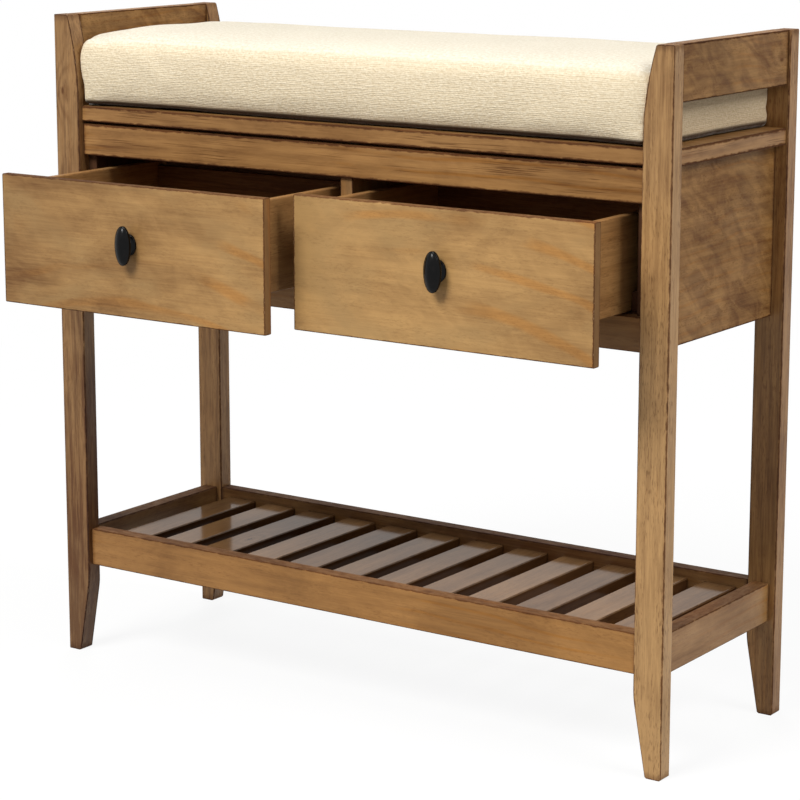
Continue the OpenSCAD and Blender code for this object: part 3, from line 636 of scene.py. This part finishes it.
def mark_board(mesh, along, seed, finish, painted_shade_slope, knot, reach, tapered_side):
    """Writes where each point lies in its board: along, across and through it. On a
    post the place across is stretched to the taper, so that its edges stay edges.
    The end faces are banded, so their grain runs along their longer side.
    painted_shade_slope is how much darker the colour is painted towards the far end, as
    painted light and shade along the board, and reach is how far from its middle the
    board runs before it enters its joints."""
    order = grain_order(mesh, along)
    places = [v.co.copy() for v in mesh.vertices]
    low = [min(p[k] for p in places) for k in order]
    high = [max(p[k] for p in places) for k in order]
    half = [(b - a) / 2 for a, b in zip(low, high)]
    middle = [(b + a) / 2 for a, b in zip(low, high)]
    draw = random.Random(seed)
    shift = [draw.uniform(-TRUNK_REACH, TRUNK_REACH) for _ in order]
    rims, grains, ways, finishes = [], [], [], []
    for place in places:
        local = [place[k] - m for k, m in zip(order, middle)]
        banded = abs(local[0]) > half[0] - SAME_PLACE
        turned = [local[1], local[2], local[0]] if banded else local
        grains.append([a + b for a, b in zip(turned, shift)])
        ways.append([a - share * b for a, share, b in zip(local, knot, half)])
        tone, warmth, joint = finish
        finishes.append((tone + painted_shade_slope * local[0] / half[0], warmth, joint))
        if tapered_side:
            width = post_width_at(place.z)
            from_outside = half[1] - tapered_side * local[1]
            local[1] = (from_outside / width - 0.5) * 2 * half[1]
        rims.append(local)
    write_vectors(mesh, "grain", grains)
    write_vectors(mesh, "rim", rims)
    write_vectors(mesh, "span", [[reach or half[0], half[1], half[2]]] * len(places))
    write_vectors(mesh, "knot", ways)
    write_vectors(mesh, "finish", finishes)


def smooth_shaded(piece):
    """Smooth faces whose normals keep the large flats flat."""
    piece.data.shade_smooth()
    piece.data.set_sharp_from_angle(angle=SMOOTH_ANGLE)
    weighted = piece.modifiers.new("flats", "WEIGHTED_NORMAL")
    weighted.keep_sharp = True
    weighted.weight = 100


# A knot that lies far off the board
NO_KNOT = (40.0, 40.0, 0.0)
# The slats' stain goes up and down along the shelf, and one slat has a knot
SLAT_TONE = 0.4
SLAT_TONE_SWING = 0.15
SLAT_TONE_STEP = 2.7
KNOTTY_SLAT = "slat_03"
SLAT_KNOT = (-0.3, 0.2, 1.0)


def make_board(node, along, wood, tone, warmth=0.0, joint=0.5, painted_shade_slope=0.0,
               knot=NO_KNOT, reach=0.0, tapered_side=0):
    """A wooden piece in place of a CAD node. tone is how dark its stain is, and on some
    pieces also painted shade; warmth how orange, and joint how dark its ends are, with
    dark glaze and painted shade where the parts meet. knot is the place of its knot, as
    shares of its half length, half width and half thickness. reach is half of the length
    that shows between its tenons, and tapered_side the side on which a post's outer
    face lies."""
    material, slot = wood
    mesh = softened_copy(node, TAPER_LEVELS if tapered_side else ())
    seed = sum(ord(letter) * (k + 3) for k, letter in enumerate(node))
    mark_board(mesh, along, seed, (tone, warmth, joint), painted_shade_slope, knot, reach, tapered_side)
    mesh.materials.append(material)
    piece = placed(node + "_board", mesh)
    smooth_shaded(piece)
    stand_in(piece, node)


# Cushion

CUSHION_VOXEL = 5 * MM
CUSHION_SHRINK = 0.4 * MM
CUSHION_SWELL = 5 * MM
TOP_SWELL = 0.8 * MM
INWARD_SHARE = 0.15
# The cushion is squeezed between the posts, so its ends are pressed out against them
END_PRESS = 2.5 * MM
END_FROM = 0.9
# How far its lower edges are filled out to a corner at the ends, how high above the
# board that reaches, and for which faces: none that look up more than a little, with
# the fill growing until a face lies as slanted as this
END_FILL = 20 * MM
FILL_HEIGHT = 22 * MM
FILL_UPWARD = 0.2
FILL_SLANT = 0.6
# Its top falls a little towards the ends
TOP_FALL = 1.0 * MM
FALL_FROM = 0.8
# Its lower front edge curls up off the board, this high and this far in, and less
# towards the ends
CURL_HEIGHT = 2 * MM
CURL_REACH = 28 * MM
CURL_POWER = 1.5
CURL_FADES_FROM = 0.8
CUSHION_FRAMES = 20
SMOOTH_PASSES = 1
# Folds of its cover: depths, and how far from the board and from the left end two of
# them reach, as shares of the cushion
SWELL_DEPTH = 1.3 * MM
WAVE_DEPTH = 0.5 * MM
LOW_WAVE_DEPTH = 1.0 * MM
LOW_SHARE = 0.35
CREASE_DEPTH = 1.5 * MM
CREASE_SHARE = 0.28
# Dents in the cushion: place, radius and depth
DENTS = ((Vector((-0.372, 0.050, 0.730)), 13 * MM, 3.5 * MM),
         (Vector((-0.345, -0.030, 0.728)), 20 * MM, 2.0 * MM),
         (Vector((-0.290, 0.150, 0.735)), 26 * MM, 2.5 * MM),
         (Vector((0.330, 0.190, 0.730)), 22 * MM, 2.0 * MM))
POST_CLEAR = 0.4 * MM
ARM_CLEAR = 0.8 * MM
REST_GAP = 0.3 * MM


def cushion_limits():
    """Faces that the cushion has to stay inside."""
    arm_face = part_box("right_arm_rail")[0].x
    return {"end": arm_face - ARM_CLEAR,
            "front_post_y": POST_HIGH.y + POST_CLEAR,
            "back_post_y": BACK_LOW.y - POST_CLEAR,
            "floor": SEAT_TOP + REST_GAP}


def keep_clear(place, limits):
    """Moves a point of the cushion back off the posts, the arms and the board."""
    side = 1 if place.x > 0 else -1
    reach = min(abs(place.x), limits["end"])
    past = reach - (BENCH_END - post_width_at(place.z) - POST_CLEAR)
    if past > 0:
        front = limits["front_post_y"] - place.y
        back = place.y - limits["back_post_y"]
        if 0 < front < past:
            place.y += front
        elif 0 < back < past:
            place.y -= back
        elif front > 0 or back > 0:
            reach -= past
    place.x = side * reach
    place.z = max(place.z, limits["floor"])


def inflate(piece):
    """Swells the cushion with a short cloth run, and leaves no modifier on it."""
    cloth = piece.modifiers.new("cloth", "CLOTH")
    settings = cloth.settings
    settings.use_pressure = True
    settings.uniform_pressure_force = 4.0
    settings.effector_weights.gravity = 0.0
    settings.tension_stiffness = 12.0
    settings.compression_stiffness = 12.0
    settings.shear_stiffness = 8.0
    settings.bending_stiffness = 0.6
    settings.quality = 6
    scene = bpy.context.scene
    for number in range(1, CUSHION_FRAMES + 1):
        scene.frame_set(number)
    applied(piece)
    scene.frame_set(1)


def fold_depth(place, low, high):
    """Small folds and waves of the cover, in metres along the surface normal."""
    along = (place.x - low.x) / (high.x - low.x)
    up = (place.z - low.z) / (high.z - low.z)
    swell = noise.noise(Vector((place.x * 7, place.y * 8, place.z * 9)))
    wave = noise.noise(Vector((place.x * 16, place.y * 22, place.z * 40 + 5)))
    crease = noise.noise(Vector((place.x * 30 + place.z * 45, place.y * 12, place.z * 18)))
    near_left = max(0.0, 1 - along / CREASE_SHARE)
    near_foot = max(0.0, 1 - up / LOW_SHARE)
    depth = SWELL_DEPTH * swell + WAVE_DEPTH * wave
    depth += near_left * CREASE_DEPTH * crease
    depth += near_foot * LOW_WAVE_DEPTH * wave
    for spot, radius, dent in DENTS:
        depth -= dent * math.exp(-((place - spot).length / radius) ** 2)
    return depth


def end_share(x, start=END_FROM):
    """How far a place is towards the cushion's end: 0 in the middle, 1 at the post."""
    return max(0.0, min(1.0, (abs(x) / POST_LOW.x - start) / (1 - start)))


def fill_depth(place, normal):
    """How far a rounded lower edge is pushed out along its normal, towards a corner."""
    if normal.z > FILL_UPWARD:
        return 0.0
    low_share = max(0.0, min(1.0, 2 - 2 * (place.z - SEAT_TOP) / FILL_HEIGHT))
    flat = max(abs(normal.x), abs(normal.y), abs(normal.z), FILL_SLANT)
    return END_FILL * end_share(place.x) * low_share * (1 / flat - 1)


def curled_up(place, front):
    """How far the lower front edge stands off the board at a place."""
    inward = max(0.0, 1 - (place.y - front) / CURL_REACH)
    downward = max(0.0, 1 - (place.z - SEAT_TOP) / CURL_REACH)
    height = CURL_HEIGHT * (1 - end_share(place.x, CURL_FADES_FROM))
    return height * min(1.0, inward) ** CURL_POWER * min(1.0, downward)


def make_cushion(material):
    """The loose cushion: the solid's outline, swollen and creased like a filled cover."""
    mesh = frame["nodes"]["cushion"].data.copy()
    mesh.name = "linen_cushion"
    shape = bmesh.new()
    shape.from_mesh(mesh)
    bmesh.ops.remove_doubles(shape, verts=shape.verts, dist=SAME_PLACE)
    bmesh.ops.recalc_face_normals(shape, faces=shape.faces)
    for point in shape.verts:
        point.co -= point.normal * CUSHION_SHRINK
    shape.to_mesh(mesh)
    shape.free()
    mesh.materials.clear()
    mesh.materials.append(material)
    cushion = placed("linen_cushion", mesh)
    remesh = cushion.modifiers.new("voxels", "REMESH")
    remesh.mode = "VOXEL"
    remesh.voxel_size = CUSHION_VOXEL
    applied(cushion)
    before = [(v.co.copy(), v.normal.copy()) for v in cushion.data.vertices]
    inflate(cushion)
    limits = cushion_limits()
    for point, (start, outward) in zip(cushion.data.vertices, before):
        move = point.co - start
        if move.dot(outward) < 0:
            move *= INWARD_SHARE
        most = CUSHION_SWELL + (TOP_SWELL - CUSHION_SWELL) * max(0.0, outward.z)
        if move.length > most:
            move *= most / move.length
        point.co = start + move
        keep_clear(point.co, limits)
    shape = bmesh.new()
    shape.from_mesh(cushion.data)
    for _ in range(SMOOTH_PASSES):
        bmesh.ops.smooth_vert(shape, verts=shape.verts, factor=0.5, use_axis_x=True,
                              use_axis_y=True, use_axis_z=True)
    shape.normal_update()
    low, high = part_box("cushion")
    for point in shape.verts:
        point.co += point.normal * fill_depth(point.co, point.normal)
        point.co += point.normal * fold_depth(point.co, low, high)
        point.co.x += END_PRESS * point.normal.x * end_share(point.co.x)
        if point.normal.z > 0:
            point.co.z -= TOP_FALL * point.normal.z * end_share(point.co.x, FALL_FROM)
        keep_clear(point.co, limits)
    shape.to_mesh(cushion.data)
    shape.free()
    finer = cushion.modifiers.new("finer", "SUBSURF")
    finer.levels = finer.render_levels = 1
    applied(cushion)
    for point in cushion.data.vertices:
        keep_clear(point.co, limits)
        point.co.z += curled_up(point.co, low.y)
    cushion.data.shade_smooth()
    stand_in(cushion, "cushion")


# Knobs and screws

KNOB_SEGMENTS = 64
# Rings of a knob: distance out from the drawer front, width and height, as shares of
# the knob's own reach, width and height
KNOB_RING_SHARES = (
    (0.00, 0.960, 0.550), (0.03, 0.975, 0.552), (0.10, 0.975, 0.552), (0.135, 0.955, 0.542),
    (0.145, 0.90, 0.515), (0.20, 0.76, 0.465), (0.27, 0.665, 0.415), (0.32, 0.635, 0.40),
    (0.37, 0.66, 0.425), (0.42, 0.74, 0.56), (0.46, 0.84, 0.75), (0.49, 0.915, 0.905),
    (0.498, 0.94, 0.945), (0.505, 0.975, 0.985), (0.525, 1.00, 1.00), (0.66, 1.00, 1.00),
    (0.685, 0.985, 0.99), (0.695, 0.955, 0.965), (0.692, 0.925, 0.955), (0.70, 0.912, 0.948),
    (0.74, 0.885, 0.92), (0.80, 0.80, 0.83), (0.86, 0.68, 0.705), (0.915, 0.53, 0.55),
    (0.96, 0.365, 0.38), (0.988, 0.19, 0.20))


def add_ring(shape, middle, y, half_width, half_height, segments):
    """The points of an upright oval ring."""
    turns = [math.tau * k / segments for k in range(segments)]
    return [shape.verts.new((middle.x + half_width * math.cos(turn), y,
                             middle.z + half_height * math.sin(turn))) for turn in turns]


def join_rings(shape, rings):
    """Faces from each ring to the next."""
    for first, second in zip(rings, rings[1:]):
        for k in range(len(first)):
            after = (k + 1) % len(first)
            shape.faces.new((first[k], first[after], second[after], second[k]))


def make_knob(node, material):
    """An upright oval knob: a foot, a waist, and a domed head with a raised rim."""
    low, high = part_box(node)
    half_width = (high.x - low.x) / 2
    half_height = (high.z - low.z) / 2
    reach = high.y - low.y
    middle = (low + high) / 2
    shape = bmesh.new()
    rings = [add_ring(shape, middle, high.y - reach * out, half_width * wide,
                      half_height * tall, KNOB_SEGMENTS)
             for out, wide, tall in KNOB_RING_SHARES]
    join_rings(shape, rings)
    shape.faces.new(rings[0])
    tip = shape.verts.new((middle.x, low.y, middle.z))
    for k in range(KNOB_SEGMENTS):
        shape.faces.new((rings[-1][k], rings[-1][(k + 1) % KNOB_SEGMENTS], tip))
    bmesh.ops.recalc_face_normals(shape, faces=shape.faces)
    mesh = finished_mesh(node + "_oval", shape)
    mesh.materials.append(material)
    for face in mesh.polygons:
        face.use_smooth = len(face.vertices) <= 4
    stand_in(placed(node + "_oval", mesh), node)


SCREW_SEGMENTS = 32
# Profile of the screw's head: distance from the axis as a share of its radius, and
# height as a share of its thickness
SCREW_HEAD_SHARES = ((1.0, 0.0), (1.0, 0.35), (0.93, 0.62), (0.75, 0.84), (0.45, 0.97))
SLOT_WIDTH_SHARE = 0.2
SLOT_LENGTH_SHARE = 1.05
SLOT_DEPTH_SHARE = 0.55
SHANK_RADIUS = 2 * MM


def make_screw(node, material):
    """The knob's screw, with a domed head that has a cross recess, on the inside of
    the drawer front."""
    low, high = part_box(node)
    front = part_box(node.replace("_screw", "_front"))[1].y
    radius = (high.x - low.x) / 2
    thick = high.y - front
    middle = (low + high) / 2
    shape = bmesh.new()
    outline = [(radius * r, front + thick * h) for r, h in SCREW_HEAD_SHARES]
    outline = [(SHANK_RADIUS, low.y), (SHANK_RADIUS, front)] + outline
    rings = [add_ring(shape, middle, y, r, r, SCREW_SEGMENTS) for r, y in outline]
    join_rings(shape, rings)
    shape.faces.new(rings[0])
    shape.faces.new(rings[-1])
    bmesh.ops.recalc_face_normals(shape, faces=shape.faces)
    mesh = finished_mesh(node + "_cross", shape)
    mesh.materials.append(material)
    screw = placed(node + "_cross", mesh)
    cutter_shape = bmesh.new()
    for wide, tall in ((SLOT_WIDTH_SHARE, SLOT_LENGTH_SHARE),
                       (SLOT_LENGTH_SHARE, SLOT_WIDTH_SHARE)):
        place = Matrix.Translation((middle.x, high.y, middle.z)) @ Matrix.Diagonal(
            (wide * radius, 2 * SLOT_DEPTH_SHARE * thick, tall * radius, 1))
        bmesh.ops.create_cube(cutter_shape, size=1, matrix=place)
    cutter = placed("recess", finished_mesh("recess", cutter_shape))
    cut = screw.modifiers.new("recess", "BOOLEAN")
    cut.operation = "DIFFERENCE"
    cut.solver = "EXACT"
    cut.use_self = True
    cut.object = cutter
    applied(screw)
    bpy.data.objects.remove(cutter)
    screw.data.shade_smooth()
    screw.data.set_sharp_from_angle(angle=EDGE_ANGLE)
    stand_in(screw, node)


# Studio

FLOOR_SIZE = 40.0
# Colour of the floor where it shows, and of the light that it throws back
FLOOR_SHOWN = (0.92, 0.92, 0.92, 1.0)
FLOOR_BOUNCE = (0.38, 0.38, 0.38, 1.0)
# Share of plain white near the bench, and distances between which it grows to all
FLOOR_WHITE_NEAR = 0.9
FLOOR_WHITE_FROM = 0.6
FLOOR_WHITE_TO = 2.2
WHITE = (1.0, 1.0, 1.0, 1.0)
WORLD_COLOUR = (0.97, 0.98, 1.0, 1.0)
WORLD_LIGHT = 0.26


def shown_background(tree):
    """1 for rays that show the background: from the camera, a gloss or a glass."""
    path = add_node(tree, "ShaderNodeLightPath").outputs
    return calc(tree, "MAXIMUM", path["Is Camera Ray"],
                calc(tree, "MAXIMUM", path["Is Glossy Ray"], path["Is Transmission Ray"]))


def make_floor():
    """A pale floor that takes the bench's shadow, and is plain white further off."""
    shape = bmesh.new()
    bmesh.ops.create_grid(shape, x_segments=2, y_segments=2, size=FLOOR_SIZE / 2)
    floor = placed("floor", finished_mesh("floor", shape))
    material, tree, shader = new_material(
        "pale_floor", {"Roughness": 0.9, "Specular IOR Level": 0.0})
    shown = shown_background(tree)
    tree.links.new(mix_colour(tree, shown, FLOOR_BOUNCE, FLOOR_SHOWN),
                   shader.inputs["Base Color"])
    white = add_node(tree, "ShaderNodeEmission", {"Color": WHITE, "Strength": 1.0})
    away = length(tree, add_node(tree, "ShaderNodeTexCoord").outputs["Object"])
    far = step_up(tree, away, FLOOR_WHITE_FROM, FLOOR_WHITE_TO)
    share = calc(tree, "MULTIPLY_ADD", far, 1.0 - FLOOR_WHITE_NEAR, FLOOR_WHITE_NEAR)
    blend = add_node(tree, "ShaderNodeMixShader",
                     {0: calc(tree, "MULTIPLY", shown, share),
                      1: shader.outputs[0], 2: white.outputs[0]})
    tree.links.new(blend.outputs[0], tree.nodes["Material Output"].inputs["Surface"])
    floor.data.materials.append(material)


def make_world():
    """Soft light all round, and a white background."""
    world = bpy.data.worlds.new("studio")
    bpy.context.scene.world = world
    world.use_nodes = True
    tree = world.node_tree
    soft = tree.nodes["Background"]
    soft.inputs["Color"].default_value = WORLD_COLOUR
    soft.inputs["Strength"].default_value = WORLD_LIGHT
    white = add_node(tree, "ShaderNodeBackground", {"Color": WHITE, "Strength": 1.0})
    blend = add_node(tree, "ShaderNodeMixShader",
                     {0: shown_background(tree), 1: soft.outputs[0], 2: white.outputs[0]})
    tree.links.new(blend.outputs[0], tree.nodes["World Output"].inputs["Surface"])


def make_lamp(name, place, watts, size, colour, mirrored=True):
    """A square soft box that faces the bench. mirrored says whether gloss shows it."""
    light = bpy.data.lights.new(name, "AREA")
    light.energy = watts
    light.size = size
    light.color = colour
    lamp = placed(name, light)
    lamp.location = place
    lamp.rotation_euler = (CENTRE - Vector(place)).to_track_quat("-Z", "Y").to_euler()
    lamp.visible_glossy = mirrored


def make_camera():
    """The photograph's viewing angle."""
    lens = bpy.data.cameras.new("photo_view")
    lens.lens = FOCAL_PIXELS / IMAGE_PIXELS * lens.sensor_width
    lens.shift_y = CAMERA_SHIFT_Y
    camera = placed("photo_view", lens)
    camera.location = CAMERA_PLACE
    camera.rotation_euler = (math.radians(90 - CAMERA_PITCH), 0, math.radians(CAMERA_YAW))
    bpy.context.scene.camera = camera


# Studio, finishes and pieces, one after another

make_camera()
make_floor()
make_world()
make_lamp("key", (-0.70, -3.77, 4.46), 310, 2.1, (1.0, 0.985, 0.96))
make_lamp("right", (4.65, -0.04, 4.32), 203, 2.66, (1.0, 0.99, 0.98))
make_lamp("back", (-3.2, 4.2, 3.4), 110, 2.5, (0.98, 0.99, 1.0), mirrored=False)

stained = stained_board_group(grain_group(), edge_distance_group())
post_wood = board_material("post_wood", "frame_wood", stained, {
    "Light": (0.48, 0.28, 0.115, 1.0), "Dull": (0.31, 0.205, 0.097, 1.0),
    "Figure": 0.13, "Fibres": 0.40, "Stain": 0.24, "Haze": 0.15, "Streaks": 0.2,
    "Ticks": 0.5, "Wear": 0.5, "Figure Width": 0.011, "Warp": 3.5, "Joint Reach": 0.010,
    "Glaze Width": 0.0018, "Roughness": 0.42}, bump=0.35, specular=0.3)
rail_wood = board_material("rail_wood", "frame_wood", stained, {
    "Figure": 0.10, "Fibres": 0.22, "Stain": 0.42, "Haze": 0.2, "Streaks": 0.4,
    "Ticks": 0.25, "Tops": 0.7, "Wear": 0.4, "Glaze Width": 0.0016,
    "Figure Width": 0.014, "Warp": 3.0, "Tick Length": 0.006, "Roughness": 0.40},
    bump=0.3, specular=0.25)
upper_wood = board_material("upper_rail_wood", "frame_wood", stained, {
    "Figure": 0.26, "Fibres": 0.24, "Stain": 0.40, "Haze": 0.1, "Streaks": 0.5,
    "Ticks": 0.8, "Wear": 0.35, "Glaze Width": 0.0030, "Figure Width": 0.014,
    "Warp": 2.6, "Tick Length": 0.06, "Roughness": 0.42}, bump=0.3, specular=0.2)
panel_wood = board_material("panel_wood", "frame_wood", stained, {
    "Light": (0.37, 0.215, 0.082, 1.0), "Figure": 0.12, "Fibres": 0.24, "Stain": 0.35,
    "Curl": 0.42, "Haze": 0.25, "Streaks": 0.35, "Ticks": 0.4, "Wear": 0.3,
    "Figure Width": 0.014, "Warp": 5.0, "Arch": 18.0, "Tick Length": 0.004,
    "Roughness": 0.5}, bump=0.25, specular=0.12)
front_wood = board_material("drawer_front_wood", "drawer_front_wood", stained, {
    "Light": (0.49, 0.285, 0.106, 1.0), "Dull": (0.34, 0.212, 0.086, 1.0),
    "Orange": (0.54, 0.25, 0.06, 1.0), "Figure": 0.10, "Fibres": 0.20, "Stain": 0.32,
    "Curl": 0.12, "Haze": 0.6, "Streaks": 0.7, "Ticks": 0.16, "Tops": 0.9, "Wear": 0.6,
    "Glaze Width": 0.0017, "Joint Reach": 0.0015, "Figure Width": 0.045, "Warp": 1.4,
    "Arch": 26.0, "Streak Lean": 0.5, "Tick Length": 0.005, "Roughness": 0.42},
    bump=0.3, specular=0.25)
# The slats' sides are darkened as painted shade in the gaps between them
slat_wood = board_material("slat_wood", "slat_wood", stained, {
    "Light": (0.24, 0.13, 0.055, 1.0), "Dark": (0.06, 0.026, 0.01, 1.0),
    "Figure": 0.14, "Fibres": 0.25, "Stain": 0.25, "Haze": 0.0, "Streaks": 0.1,
    "Ticks": 0.3, "Glaze": 0.7, "Glaze Width": 0.0012, "Sides": 0.8, "Wear": 0.1,
    "Roughness": 0.4}, bump=0.06, specular=0.0, coat=0.52)
box_wood = board_material("drawer_box_wood", "drawer_box_wood", stained, {
    "Figure": 0.12, "Fibres": 0.30, "Stain": 0.25, "Streaks": 0.12, "Ticks": 0.4,
    "Glaze": 0.4, "Glaze Width": 0.0012, "Wear": 0.5, "Roughness": 0.5},
    bump=0.3, specular=0.2)
inner_wood = board_material("dark_inner_wood", "inner_wood", stained, {
    "Light": (0.10, 0.042, 0.018, 1.0), "Dark": (0.035, 0.014, 0.006, 1.0),
    "Orange": (0.10, 0.04, 0.012, 1.0), "Dull": (0.06, 0.03, 0.014, 1.0),
    "Figure": 0.15, "Fibres": 0.35, "Stain": 0.3, "Streaks": 0.1, "Ticks": 0.4,
    "Glaze": 0.4, "Wear": 0.1, "Roughness": 0.6}, bump=0.3, specular=0.12)
linen = linen_material()
black = knob_material()
zinc = zinc_material()

# Half of what shows between the tenons of the rails that run to the posts
side_reach = (BACK_LOW.y - POST_HIGH.y) / 2
front_reach = BENCH_END - POST_WIDTH
# Left front post painted darker towards its foot as painted shade; right one paler there as
# painted light
make_board("front_left_post", "Z", post_wood, 0.74, 0.05, painted_shade_slope=-0.19,
           knot=(0.77, -0.35, -1.0), tapered_side=-1)
make_board("front_right_post", "Z", post_wood, 0.23, painted_shade_slope=0.20,
           knot=(-0.82, -0.9, -1.0), tapered_side=1)
make_board("back_left_post", "Z", post_wood, 0.62, 0.2, tapered_side=-1)
make_board("back_right_post", "Z", post_wood, 0.55, 0.35, tapered_side=1)
for side, outer in (("left", -1.0), ("right", 1.0)):
    make_board(f"{side}_arm_rail", "Y", panel_wood, 0.60, 0.25, 0.8,
               knot=(0.80, -0.05, outer), reach=side_reach)
    make_board(f"{side}_side_panel", "Y", panel_wood, 0.55, 0.3, reach=side_reach)
    make_board(f"{side}_case_side", "Z", inner_wood, 0.5)
    for place in ("outer", "inner"):
        make_board(f"{side}_{place}_runner", "Y", inner_wood, 0.4)
        make_board(f"{side}_{place}_guide", "Y", inner_wood, 0.4)
make_board("upper_front_rail", "X", upper_wood, 0.36, 0.4, reach=front_reach)
make_board("seat_board", "X", upper_wood, 0.48, 0.35, 0.0, painted_shade_slope=-0.07)
make_board("lower_front_rail", "X", rail_wood, 0.50, 0.3, reach=front_reach)
make_board("centre_divider", "Z", rail_wood, 0.30)
make_board("front_shelf_rail", "X", rail_wood, 0.30, 0.6, painted_shade_slope=-0.12, reach=front_reach)
# The back and left shelf rails are stained darker, as painted shade under the drawer case
make_board("back_shelf_rail", "X", rail_wood, 0.75, 0.3, reach=front_reach)
make_board("left_shelf_rail", "Y", rail_wood, 0.62, 0.2, reach=side_reach)
make_board("right_shelf_rail", "Y", rail_wood, 0.36, 0.3, reach=side_reach)
for node in ("back_panel", "front_slat_cleat", "back_slat_cleat"):
    make_board(node, "X", inner_wood, 0.5)
slats = sorted(name for name in frame["nodes"] if name.startswith("slat_"))
for number, node in enumerate(slats, 1):
    make_board(node, "Y", slat_wood,
               SLAT_TONE + SLAT_TONE_SWING * math.sin(SLAT_TONE_STEP * number),
               knot=SLAT_KNOT if node == KNOTTY_SLAT else NO_KNOT)
# The drawer fronts are painted darker towards their outer ends, as painted shade
for side, tone, painted_shade_slope in (("left", 0.47, -0.21), ("right", 0.25, 0.10)):
    drawer = f"{side}_drawer"
    make_board(f"{drawer}_front", "X", front_wood, tone, joint=0.6, painted_shade_slope=painted_shade_slope)
    # Backs and bottoms are stained darker, as painted shade inside the drawers
    for part, along, tone in (("outer_side", "Y", 0.45), ("inner_side", "Y", 0.45),
                              ("back", "X", 0.85), ("bottom", "X", 0.85)):
        make_board(f"{drawer}_{part}", along, box_wood, tone, 0.3)
    make_knob(f"{drawer}_knob", black)
    make_screw(f"{drawer}_screw", zinc)
make_cushion(linen)

bpy.context.scene.view_settings.view_transform = "Standard"
bpy.context.view_layer.update()
